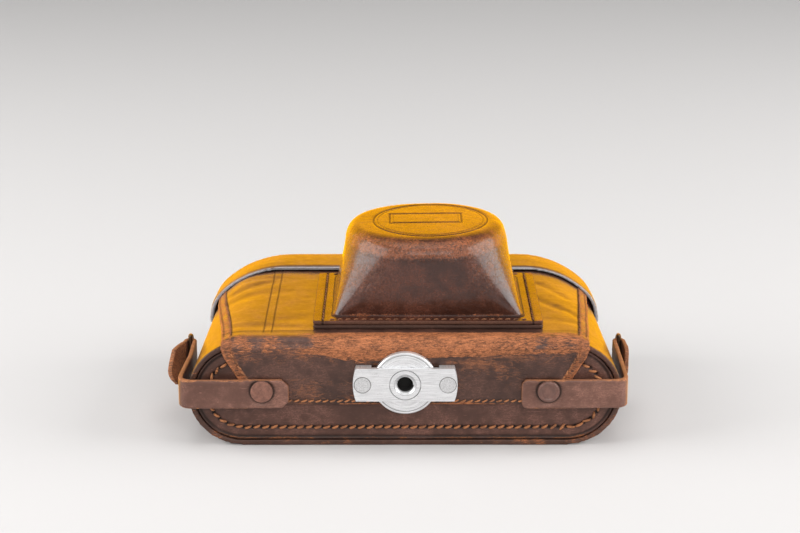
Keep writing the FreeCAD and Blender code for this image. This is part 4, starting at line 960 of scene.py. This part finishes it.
def build_cap():
    cap = resurfaced("leather_cap", ["top_cap"], voxel=0.5, rounds=3, material="cap")
    points, normals, along = surface(cap)
    up = normals[:, 2]
    points = relief(points, normals, 0.20, size=(26, 9, 14), seed=61)
    swell = fractal(points, (40, 14, 22), 62, 2)
    points = lift(points, normals, 0.30 * swell * step(0.2, 0.7, up))
    points[:, 2] -= 0.35 * step(82.0, 80.3, along) * step(0.1, 0.6, up)
    points[:, 0] -= hug(points)
    set_coords(cap, points)
    # the lip's edge gets the cap's pale grey raw colour: a painted highlight along the lip
    lip_edge_highlight = 0.5 * step(81.6, 80.6, along) * (0.5 + 0.5 * fractal(points, 5, 63))
    far_end = step(97.0, 98.0, along) * step(0.5, 0.9, np.hypot(normals[:, 1], up))
    set_masks(cap,
              edge=step(81.1, 80.4, along) * step(0.15, 0.5, -normals[:, 1]) + lip_edge_highlight,
              wear=0.45 * step(0.25, 0.6, fractal(points, 12, 64)) * step(92, 97.6, along)
              + 0.55 * far_end * (0.4 + 0.5 * fractal(points, 6, 65)),
              # dirt here: painted shade under the lip
              dirt=0.8 * step(83, 82.2, along) * step(-0.2, -0.6, up))
    assign(cap, COVER, LEATHER_SLOT, "top_cap")


# ---- lens nose: a cup lofted from a near-rectangular foot to a round top
FOOT_Z, WALL_TOP_Z, SHOULDER_HEIGHT = 45.0, 67.9, 6.9
CROWN_Z = WALL_TOP_Z + SHOULDER_HEIGHT
TOP_HALF_X, FOOT_EXTRA_X = 30.0, 4.75
FOOT_HALF_Y, TOP_EXTRA_Y = 24.35, 5.35
SHOULDER_POWER = 2.15  # superellipse power of the shoulder's section
NOSE_WALL = 1.9
INNER_SHOULDER_Z, INNER_SHOULDER_HEIGHT = 67.4, 5.45


def rounded_radius(cosine, sine, half_x, half_y, corner):
    """Distance from the middle to a rounded rectangle's outline in one direction."""
    cosine, sine = abs(cosine), abs(sine)
    if cosine > 1e-9:
        reach = half_x / cosine
        if reach * sine <= half_y - corner:
            return reach
    if sine > 1e-9:
        reach = half_y / sine
        if reach * cosine <= half_x - corner:
            return reach
    x, y = half_x - corner, half_y - corner
    k = cosine * x + sine * y
    return k + math.sqrt(max(k * k - x * x - y * y + corner * corner, 0.0))


def nose_directions():
    """(cosine, sine) round the nose, closer together towards the foot's corners."""
    corner = math.atan2(FOOT_HALF_Y, TOP_HALF_X + FOOT_EXTRA_X)
    right_angle = math.pi / 2
    angles = set()
    for quarter in range(4):
        lean = corner if quarter % 2 == 0 else right_angle - corner
        share = lean / right_angle
        for k in range(96):
            t = k / 96
            eased = t + 0.10 * math.sin(2 * math.pi * (t - share))
            eased = eased - 0.10 * math.sin(-2 * math.pi * share)
            angle = quarter * right_angle + right_angle * min(max(eased, 0), 1)
            angles.add(round(angle, 6))
    return [(math.cos(angle), math.sin(angle)) for angle in sorted(angles)]


def nose_ring(directions, z, drop=0.0, inset=0.0):
    """One ring of the wall at height z, drawn in by the shoulder's drop (0..1)."""
    t = min(max((z - FOOT_Z) / (CROWN_Z - FOOT_Z), 0), 1)
    rounding = min(t / 0.84, 1.0)
    half_x = TOP_HALF_X + FOOT_EXTRA_X * (1 - rounding) ** 1.30 - inset
    half_y = FOOT_HALF_Y + TOP_EXTRA_Y * rounding**0.95 - inset
    corner = min(2.4 + 25.6 * rounding**1.05, half_x - 0.1, half_y - 0.1)
    middle_x, middle_y = NOSE_X - NOSE_SHIFT * t, NOSE_Y - 0.4 * (1 - t)
    ring = []
    for cosine, sine in directions:
        radius = rounded_radius(cosine, sine, half_x, half_y, corner)
        radius -= (5.7 + 3.0 * sine * sine) * drop
        ring.append((middle_x + radius * cosine, middle_y + radius * sine, z))
    return np.array(ring)


def nose_rings():
    """Rings from the foot up the outside to the middle, then down the inside."""
    directions = nose_directions()
    power = 2 / SHOULDER_POWER

    def shoulder(turn, base_z, height, inset=0.0):
        drop = 1 - max(math.cos(turn), 0) ** power
        return nose_ring(directions, base_z + height * math.sin(turn) ** power, drop, inset)

    rings = []
    for t in np.linspace(0, 1, 6):
        turn = t * math.pi / 2
        rings.append(nose_ring(directions, FOOT_Z + 0.02 + 0.9 * (1 - math.cos(turn)),
                               inset=-0.9 * (1 - math.sin(turn))))
    for z in np.linspace(45.95, WALL_TOP_Z, 56)[1:]:
        rings.append(nose_ring(directions, z))
    for turn in np.linspace(0, math.pi / 2, 30)[1:]:
        rings.append(shoulder(turn, WALL_TOP_Z, SHOULDER_HEIGHT))
    last = rings[-1]
    middle = np.array([NOSE_X - NOSE_SHIFT, NOSE_Y, CROWN_Z])

    def crown(share, z):
        ring = middle + (last - middle) * share
        ring[:, 2] = z
        return ring

    for share in np.linspace(0.98, 0.0006, 52):
        rings.append(crown(share, CROWN_Z + 0.25 * (1 - share * share)))
    outer_count = len(rings)
    for share in (0.0006, 0.4, 0.8, 0.97):
        rings.append(crown(share, INNER_SHOULDER_Z + INNER_SHOULDER_HEIGHT))
    for turn in np.linspace(math.pi / 2, 0, 10)[1:]:
        rings.append(shoulder(turn, INNER_SHOULDER_Z, INNER_SHOULDER_HEIGHT, NOSE_WALL))
    for z in np.linspace(66.0, FOOT_Z, 12):
        rings.append(nose_ring(directions, z, inset=NOSE_WALL))
    return rings, outer_count


def build_nose():
    rings, outer_count = nose_rings()
    sides = len(rings[0])
    faces = loft_faces(len(rings), sides)
    last = (len(rings) - 1) * sides
    for k in range(sides):
        after = (k + 1) % sides
        faces.append((k, last + k, last + after, after))
    nose = mesh_object("leather_nose_cup", np.vstack(rings), faces, "nose")
    fix_normals(nose)
    points, normals, _ = surface(nose)
    outer = np.arange(len(points)) < sides * outer_count
    # rings and rectangle pressed in the top
    x, y, z = points.T
    radius = np.hypot(x - RING_X, y - NOSE_Y)
    crown = step(73.4, 74.4, z) * outer
    z -= crown * (0.32 * bump_at(radius, RING_RADII[1], 0.5)
                  + 0.16 * bump_at(radius, RING_RADII[0], 0.4))
    tablet = np.maximum(np.abs(x - TABLET_X) - TABLET_HALF[0],
                        np.abs(y - TABLET_Y) - TABLET_HALF[1])
    z -= crown * 0.25 * bump_at(tablet, 0, 0.5)
    height = z.copy()
    bulges = 0.16 * fractal(points, (16, 16, 12), 71) + 0.30 * fractal(points, (34, 34, 26), 72, 2)
    points = lift(points, normals, outer * bulges * step(45.2, 48.0, height))
    # the top leans a little: higher on the right
    x, y, z = points.T
    z += 0.012 * (x - NOSE_X) * step(60, 74, height) * outer
    points[:, 2] = np.minimum(z, 75.9)
    set_coords(nose, points)
    mottle, large, small = (fractal(points, 8, 73), fractal(points, (22, 22, 10), 74),
                            fractal(points, 3.0, 75))
    angle = np.degrees(np.arctan2(y - NOSE_Y, x - NOSE_X))
    near_side = np.where((angle < -25) & (angle > -155), 1.0, 0.45)
    near_corner = np.minimum(np.abs(angle + 40), np.abs(angle + 140))
    patina = reduce(np.maximum, (
        bump_at(height, 71.3, 2.9) * near_side * (1.05 + 0.5 * mottle + 0.2 * small),
        bump_at(height, 62.0, 9.5) * 0.36 * step(32, 14, near_corner) * (0.8 + 0.5 * mottle),
        0.20 * step(0.15, 0.6, large) * step(46, 50, height)))
    rubbed = bump_at(height, 72.6, 1.7) * near_side * (0.42 + 0.40 * mottle + 0.22 * small)
    rubbed = rubbed + 0.30 * crown * step(0.35, 0.7, large)
    foot = bump_at(height, 45.7, 0.9) * (0.45 + 0.5 * mottle)
    set_masks(nose, patina=outer * patina, wear=outer * np.maximum(rubbed, foot),
              # dirt here: painted shade round the nose's foot, where it meets the flange
              edge=0.0, dirt=outer * 0.8 * bump_at(height, 45.1, 0.35))
    assign(nose, COVER, LEATHER_SLOT)
    return nose


def build_nose_flange():
    """The flat foot of the CAD nose, cut off just above its top face."""
    flange = resurfaced("leather_nose_flange", ["lens_nose"], voxel=0.42, rounds=2,
                        material="nose")
    cut = bmesh.new()
    cut.from_mesh(flange.data)
    above = [vert for vert in cut.verts if vert.co.z > 0.0457]
    bmesh.ops.delete(cut, geom=above, context="VERTS")
    cut.to_mesh(flange.data)
    cut.free()
    flange.data.update()
    shade_smooth(flange.data)
    points, normals, along = surface(flange)
    across, lengthways = np.abs(points[:, 0] - NOSE_X), np.abs(along - 38.05)
    top = step(0.4, 0.8, normals[:, 2])
    points = relief(points, normals, 0.10, size=(12, 12, 6), seed=81)
    points[:, 2] += 0.16 * top * fractal(points, (30, 22, 20), 82, 2)
    points[:, 2] -= 0.35 * top * bump_at(across, FLANGE_SEAM, 0.5)
    set_coords(flange, points)
    cut_side = (step(0.35, 0.75, np.hypot(normals[:, 0], normals[:, 1]))
                * step(34, 36, across + np.where(lengthways > 28, 40, 0)))
    border = 0.45 * step(38.8, 41.6, across) + 0.5 * step(26.0, 29.0, lengthways)
    set_masks(flange, edge=0.9 * cut_side,
              wear=top * border * (0.6 + 0.7 * fractal(points, 6, 83)),
              # dirt here: painted shade in the side seam grooves
              dirt=0.6 * top * bump_at(across, FLANGE_SEAM, 0.6))
    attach(flange, COVER)
    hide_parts("lens_nose")
    return flange


def build_nose_backing():
    backing = resurfaced("leather_nose_backing", ["nose_backing"], voxel=0.40, rounds=2,
                         material="backing")
    points, normals, _ = surface(backing)
    points = relief(points, normals, 0.10, size=(12, 12, 6), seed=91)
    set_coords(backing, points)
    cut_side = step(0.35, 0.75, np.hypot(normals[:, 0], normals[:, 1]))
    set_masks(backing, edge=0.8 * cut_side,
              wear=0.35 * cut_side * (0.4 + 0.7 * fractal(points, 6, 93)),
              # dirt here: painted shade on the faces hidden between the flange and the cover, and
              # low on the cut side
              dirt=0.45 * (1 - cut_side) + 0.30 * cut_side * step(43.1, 42.9, points[:, 2]))
    assign(backing, COVER, LEATHER_SLOT, "nose_backing")


# ---- straps
STRAP_Z, STRAP_HALF_WIDTH = 21.2, 5.5


def build_strap(label, sign, seed):
    node = "strap_" + label
    strap = resurfaced("leather_" + node, [node], voxel=0.34, rounds=3, material="strap")
    points, normals, along = surface(strap)
    off_middle = np.abs(points[:, 2] - STRAP_Z) / STRAP_HALF_WIDTH
    points = relief(points, normals, 0.10, size=(9, 9, 7), seed=seed)
    # edges of a cut strap rise a little and the band bows between them
    flat = points * np.array([1, 1, 0])
    points[:, 2] += 0.25 * fractal(flat, (13, 13, 1), seed + 1, 2) * off_middle
    x, y, z = points.T
    side = np.abs(x)
    on_face = step(0.4, 0.8, -normals[:, 1]) * (along < 0)
    from_rivet = np.hypot(x - sign * STRAP_RIVET_X, z - STRAP_RIVET_Z)
    y += 0.22 * on_face * step(6.5, 4.2, from_rivet)
    y -= 0.30 * on_face * step(0.55, 0.85, off_middle) * step(1.05, 0.86, off_middle)
    cut_side = step(0.55, 0.85, np.abs(normals[:, 2]))
    inner_end = (side < 43.0) * step(0.5, 0.9, -sign * normals[:, 0])
    wear = (step(0.78, 1.0, off_middle) * (0.55 + 0.5 * fractal(points, 5, seed + 2))
            + 0.55 * bump_at(side, 80.0, 3.0) * (along < 2)
            * (0.5 + 0.6 * fractal(points, 6, seed + 3))
            + 0.5 * (side < 44.5) * (0.5 + fractal(points, 4, seed + 4)))
    loose = step(82.6, 83.4, side) * step(39.5, 35.0, along)
    if sign < 0:
        # the loose end has dried out: its upper corner drawn back, its lower corner curled in
        curl = np.clip((39.0 - along) / 20.8, 0, 1) * loose
        y += 9.5 * curl * step(18.5, 26.7, z)
        x += curl * (1.9 * step(21.5, 15.7, z) - 0.5 * bump_at(z, 21.5, 3.0))
    set_coords(strap, points)
    set_masks(strap, edge=np.clip(cut_side + inner_end, 0, 1) * 0.8,
              wear=np.maximum(wear, loose * (0.72 + 0.3 * fractal(points, 6, seed + 6))),
              # dirt here: a painted shade ring round the rivet head
              dirt=on_face * bump_at(from_rivet, 4.35, 0.5),
              patina=0.9 * loose)
    assign(strap, ROOT, "strap_leather", node)


def build_rivets():
    """A domed pebbled head on the left strap, a rimmed flat one on the right."""
    dome = [(4.0 * math.sin(turn), -4.75 - 0.42 * math.cos(turn))
            for turn in np.linspace(0.12, math.pi / 2, 18)]
    foot = [(3.98, -4.0), (3.8, -3.75), (0.001, -3.75)]
    rimmed = [(0.001, -4.80), (2.3, -4.80), (2.55, -4.82), (2.75, -4.95), (3.0, -5.12),
              (3.4, -5.14), (3.75, -5.0), (3.95, -4.7), (4.0, -4.4)]
    left = turned("rivet_left", -STRAP_RIVET_X, STRAP_RIVET_Z,
                  [(0.001, -5.18)] + dome + [(4.02, -4.5)] + foot,
                  "rivet_rough", ROOT, "rivet_paint")
    right = turned("rivet_right", STRAP_RIVET_X, STRAP_RIVET_Z, rimmed + foot,
                   "rivet", ROOT, "rivet_paint")
    points, normals, _ = surface(left)
    radius = np.hypot(points[:, 0] + STRAP_RIVET_X, points[:, 2] - STRAP_RIVET_Z)
    pebbles = 0.07 * fractal(points, 1.1, 7, 2) * step(3.9, 3.3, radius)
    set_coords(left, lift(points, normals, pebbles))
    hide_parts("strap_rivets")
    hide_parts("strap_rivets")


# ---- tongue and linings
# stitch line on the tongue: x, along
TONGUE_SEAM = [(-8.6, 100), (-8.6, 121), (-6, 126.4), (0, 127.6), (6, 126.4), (8.6, 121),
               (8.6, 100)]


def build_tongue():
    tongue = resurfaced("leather_tongue", ["closure_tongue"], voxel=0.38, rounds=3,
                        material="strap")
    points, normals, _ = surface(tongue)
    points = relief(points, normals, 0.08, size=(9, 9, 4), seed=121)
    points[:, 2] = np.maximum(points[:, 2], 0.15)
    flat = points[:, :2] - np.array([0, BASE_Y])
    gap = reduce(np.minimum, (segment_distance(flat, start, end)
                              for start, end in zip(TONGUE_SEAM, TONGUE_SEAM[1:])))
    points[:, 2] -= 0.34 * step(0.9, 0.3, gap) * step(0.3, 0.8, normals[:, 2])
    set_coords(tongue, points)
    set_masks(tongue, edge=step(0.4, 0.8, np.hypot(normals[:, 0], normals[:, 1])),
              wear=0.4 * step(0.3, 0.6, fractal(points, 8, 122)), dirt=0.0)
    assign(tongue, "closure_tongue", LEATHER_SLOT, "closure_tongue")


def build_linings():
    for node, body, voxel in (("shell_lining", ROOT, 0.5), ("bottom_lining", ROOT, 0.5),
                              ("cover_lining", COVER, 0.45), ("nose_lining", COVER, 0.45),
                              ("cap_lining", COVER, 0.45)):
        lining = resurfaced("velvet_" + node, [node], voxel, rounds=1, material="velvet")
        points, normals, _ = surface(lining)
        if node == "cap_lining":
            points[:, 0] -= hug(points)
        set_coords(lining, relief(points, normals, 0.03, size=2.2, seed=131, octaves=3))
        assign(lining, body, "velvet", node)


# ---- thread
SIDES = ((-1, "left"), (1, "right"))


def facing_bottom(point):
    return (0, -1, 0)


def facing_up(point):
    return (0, 0, 1)


def rim_mess(point):
    """Stitches are untidy low on the right end and at the height of z = 24 on both ends."""
    x, _, z = point
    mess = bump_at(x, 62, 7) * (z < 13) + bump_at(z, 24, 6) * (abs(x) > 60)
    return float(np.clip(mess, 0, 1))


def stitch_bottom():
    stitches("thread_bottom_rim", rim_stitch_path(), facing_bottom, RIM_STITCH_PITCH,
             radius=0.47, share=0.80, slant=0.36, loft=0.36, seed=5,
             body=ROOT, material="thread", untidy=rim_mess)
    low_path = [(x, y_at(-2.02), 18.1) for x in np.linspace(-46, 46, 30)]
    stitches("thread_flap_low", low_path, facing_bottom, 2.65, radius=0.33, share=0.82,
             slant=0.4, loft=0.28, seed=6, body=ROOT, material="thread")
    for sign, label in SIDES:
        path = [(sign * (flap_half_width(z) - HEM_INSET), y_at(-2.28), z)
                for z in np.linspace(19.5, 36.6, 12)]
        stitches("thread_flap_side_" + label, path, facing_bottom, 2.5, radius=0.32,
                 share=0.80, slant=0.25, loft=0.26, seed=7 + sign, body=ROOT, material="thread")


def stitch_panel():
    """Hem stitches that follow the front panel's surface."""
    bpy.context.view_layer.update()
    panel = bpy.data.objects["leather_front_panel"]
    depsgraph = bpy.context.evaluated_depsgraph_get()

    def ground(x, y):
        """Height and normal of the panel, from a ray straight down."""
        hit, place, normal, _ = panel.ray_cast(Vector((x * MM, y * MM, 0.09)),
                                               Vector((0, 0, -1)), depsgraph=depsgraph)
        return (place.z / MM, np.array(normal)) if hit else (41.8, np.array([0, 0, 1.0]))

    for sign, label in SIDES:
        path, normals = [], []
        for along in np.linspace(5.5, 79.0, 60):
            x, y = sign * (panel_half_width(along) - HEM_INSET), y_at(along)
            if sign < 0:
                x = float(crept(x, ground(x, y)[0], along)[0])
            height, normal = ground(x, y)
            path.append((x, y, height))
            normals.append(normal)

        def outward(point, path=np.array(path), normals=np.array(normals)):
            normal = normals[int(np.argmin(np.abs(path[:, 1] - point[1])))]
            return normal / np.linalg.norm(normal)

        stitches("thread_panel_" + label, path, outward, 2.7, radius=0.25, share=0.7,
                 slant=0.25, loft=0.16, seed=12 + sign)


def stitch_nose():
    for sign, label in SIDES:
        path = [(NOSE_X + sign * FLANGE_SEAM, y_at(along), 44.72)
                for along in np.linspace(10.6, 65.6, 30)]
        stitches("thread_nose_" + label, path, facing_up, 2.9, radius=0.25, share=0.75,
                 slant=0.2, loft=0.22, seed=15 + sign)
    for label, along, seed in (("near", 10.6, 18), ("far", 65.4, 19)):
        path = [(x, y_at(along), 45.02) for x in np.linspace(NOSE_X - 36.5, NOSE_X + 36.5, 30)]
        stitches("thread_nose_" + label, path, facing_up, 2.9, radius=0.25, share=0.7,
                 slant=0.2, loft=0.12, seed=seed)


def stitch_tongue():
    path = [(x, y_at(along), 3.02) for x, along in TONGUE_SEAM]
    stitches("thread_tongue", path, facing_up, 2.6, radius=0.17, share=0.7, slant=0.2,
             loft=0.04, seed=20, body="closure_tongue")


# ---- retaining screw details
def build_screw_details():
    radius, pitch_rise = 3.12, 1.27 * 0.68
    helix = []
    for k in range(220):
        turn = 2 * math.pi * k / 40
        helix.append((radius * math.cos(turn), y_at(-5.25) + pitch_rise * k / 40,
                      SCREW_Z + radius * math.sin(turn)))
    verts, faces = tube(helix, [0.30] * len(helix), sides=6)
    assign(mesh_object("screw_thread", verts, faces, "alu"), "retaining_screw",
           "plate_aluminium")
    # two raised circles on the disc
    for i, radius in enumerate((9.3, 10.4)):
        profile = [(radius - 0.10, -4.49), (radius - 0.05, -4.55),
                   (radius + 0.05, -4.55), (radius + 0.10, -4.49)]
        turned("disc_line_%d" % i, 0, SCREW_Z, profile, "alu", "retaining_screw",
               "plate_aluminium", sides=96)


# ---- marks on the camera's lens
LENS_BASE_Z = 3.3 + 32


def ticks(name, radius, low, high, count, width):
    """Upright marks round the lens, every fifth one longer."""
    verts, faces = [], []
    box = [(4, 5, 6, 7), (3, 2, 1, 0), (0, 1, 5, 4), (1, 2, 6, 5), (2, 3, 7, 6), (3, 0, 4, 7)]
    for k in range(count):
        angle = 2 * math.pi * k / count
        top = low + (high - low) * (1.0 if k % 5 == 0 else 0.6)
        for reach in (radius - 0.06, radius + 0.025):
            for side, z in ((-1, low), (1, low), (1, top), (-1, top)):
                turn = angle + side * width / 2 / radius
                verts.append((NOSE_X + reach * math.cos(turn), NOSE_Y + reach * math.sin(turn),
                              LENS_BASE_Z + z))
        faces += [tuple(8 * k + i for i in face) for face in box]
    assign(mesh_object(name, verts, faces, "black", smooth=False), ROOT, "black_metal")


# ---- stage, in metres
def matte(name, color, rough, glow=None, strength=0.0):
    material = bpy.data.materials.new(name)
    material.use_nodes = True
    inputs = material.node_tree.nodes["Principled BSDF"].inputs
    inputs["Base Color"].default_value = (*color, 1)
    inputs["Roughness"].default_value = rough
    inputs["Specular IOR Level"].default_value = 0.0
    if glow:
        inputs["Emission Color"].default_value = (*glow, 1)
        inputs["Emission Strength"].default_value = strength
    return material


def stage_mesh(name, verts, material, faces=((0, 1, 2, 3),)):
    mesh = bpy.data.meshes.new(name)
    mesh.from_pydata(verts, [], faces)
    mesh.update()
    ob = link(bpy.data.objects.new(name, mesh))
    mesh.materials.append(material)
    return ob


def build_stage():
    stage_mesh("floor", [(-6, -3, -0.0001), (6, -3, -0.0001), (6, 9, -0.0001), (-6, 9, -0.0001)],
               matte("floor_paper", (0.66, 0.65, 0.648), rough=0.8))
    # glowing cards seen only in reflections: one standing behind, one flat round the case
    orange, glow = (0.9, 0.5, 0.0), (1.0, 0.345, 0.001)
    card = stage_mesh(
        "warm_card", [(-2.2, 0.55, 0.002), (2.2, 0.55, 0.002), (2.2, 0.95, 1.1), (-2.2, 0.95, 1.1)],
        matte("warm_card_paint", orange, rough=0.9, glow=glow, strength=2.0))
    outline = [(-2.2, 0.058), (2.2, 0.058), (2.2, 0.55), (-2.2, 0.55), (-2.2, -0.02),
               (-0.094, -0.02), (-0.094, 0.058), (0.094, -0.02), (2.2, -0.02), (0.094, 0.058)]
    low_card = stage_mesh(
        "warm_table_edge", [(x, y, 0.0006) for x, y in outline],
        matte("warm_edge_paint", orange, rough=0.9, glow=glow, strength=1.25),
        faces=[(0, 1, 2, 3), (4, 5, 6, 0), (7, 8, 1, 9)])
    for ob in (card, low_card):
        ob.visible_camera = False
        ob.visible_shadow = False
        ob.visible_transmission = False
        ob.visible_diffuse = False


def area(name, location, target, size, power, color):
    light = bpy.data.lights.new(name, "AREA")
    light.shape = "RECTANGLE"
    light.size, light.size_y = size
    light.energy = power
    light.color = color
    light.spread = math.radians(180)
    ob = link(bpy.data.objects.new(name, light))
    ob.location = location
    aim = Vector(target) - Vector(location)
    ob.rotation_euler = aim.to_track_quat("-Z", "Y").to_euler()


def build_lights():
    area("box_left", (-1.05, -0.15, 0.50), target=(0, 0, 0.04), size=(1.0, 0.8), power=12.5,
         color=(1.0, 0.99, 0.985))
    area("box_right", (1.10, -0.10, 0.50), target=(0, 0, 0.04), size=(1.0, 0.8), power=13.0,
         color=(1.0, 0.99, 0.985))
    area("front_fill", (0.15, -1.5, 0.9), target=(0, 0, 0.03), size=(1.4, 0.9), power=11.0,
         color=(1.0, 0.99, 0.98))
    area("top_soft", (0.0, -0.1, 1.4), target=(0, 0, 0), size=(1.2, 1.0), power=6.0,
         color=(1.0, 0.985, 0.97))
    world = bpy.data.worlds.new("studio")
    world.use_nodes = True
    background = world.node_tree.nodes["Background"]
    background.inputs["Color"].default_value = (0.93, 0.93, 0.92, 1)
    background.inputs["Strength"].default_value = 0.34
    bpy.context.scene.world = world


def build_camera():
    view = bpy.data.cameras.new("view")
    view.sensor_width = 36.0
    view.lens = 86.2
    view.clip_end = 20
    camera = link(bpy.data.objects.new("view", view))
    camera.location = (-0.003, -0.70004, 0.27345)
    camera.rotation_euler = (math.radians(72.535), 0.0, math.radians(-0.1))
    bpy.context.scene.camera = camera
    bpy.context.scene.view_settings.view_transform = "Standard"


dress_cad_pieces()
build_shell()
build_bottom_panel()
build_hide()
build_cap()
nose_cup = build_nose()
nose_flange = build_nose_flange()
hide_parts("lens_nose")
build_nose_backing()
build_strap("left", sign=-1, seed=101)
build_strap("right", sign=1, seed=111)
build_rivets()
build_tongue()
build_linings()
stitch_bottom()
stitch_panel()
stitch_nose()
stitch_tongue()
build_screw_details()
ticks("marks_barrel", radius=20.2, low=2.7, high=4.3, count=40, width=0.25)
ticks("marks_rim", radius=16.2, low=18.6, high=20.2, count=24, width=0.22)
build_stage()
build_lights()
build_camera()
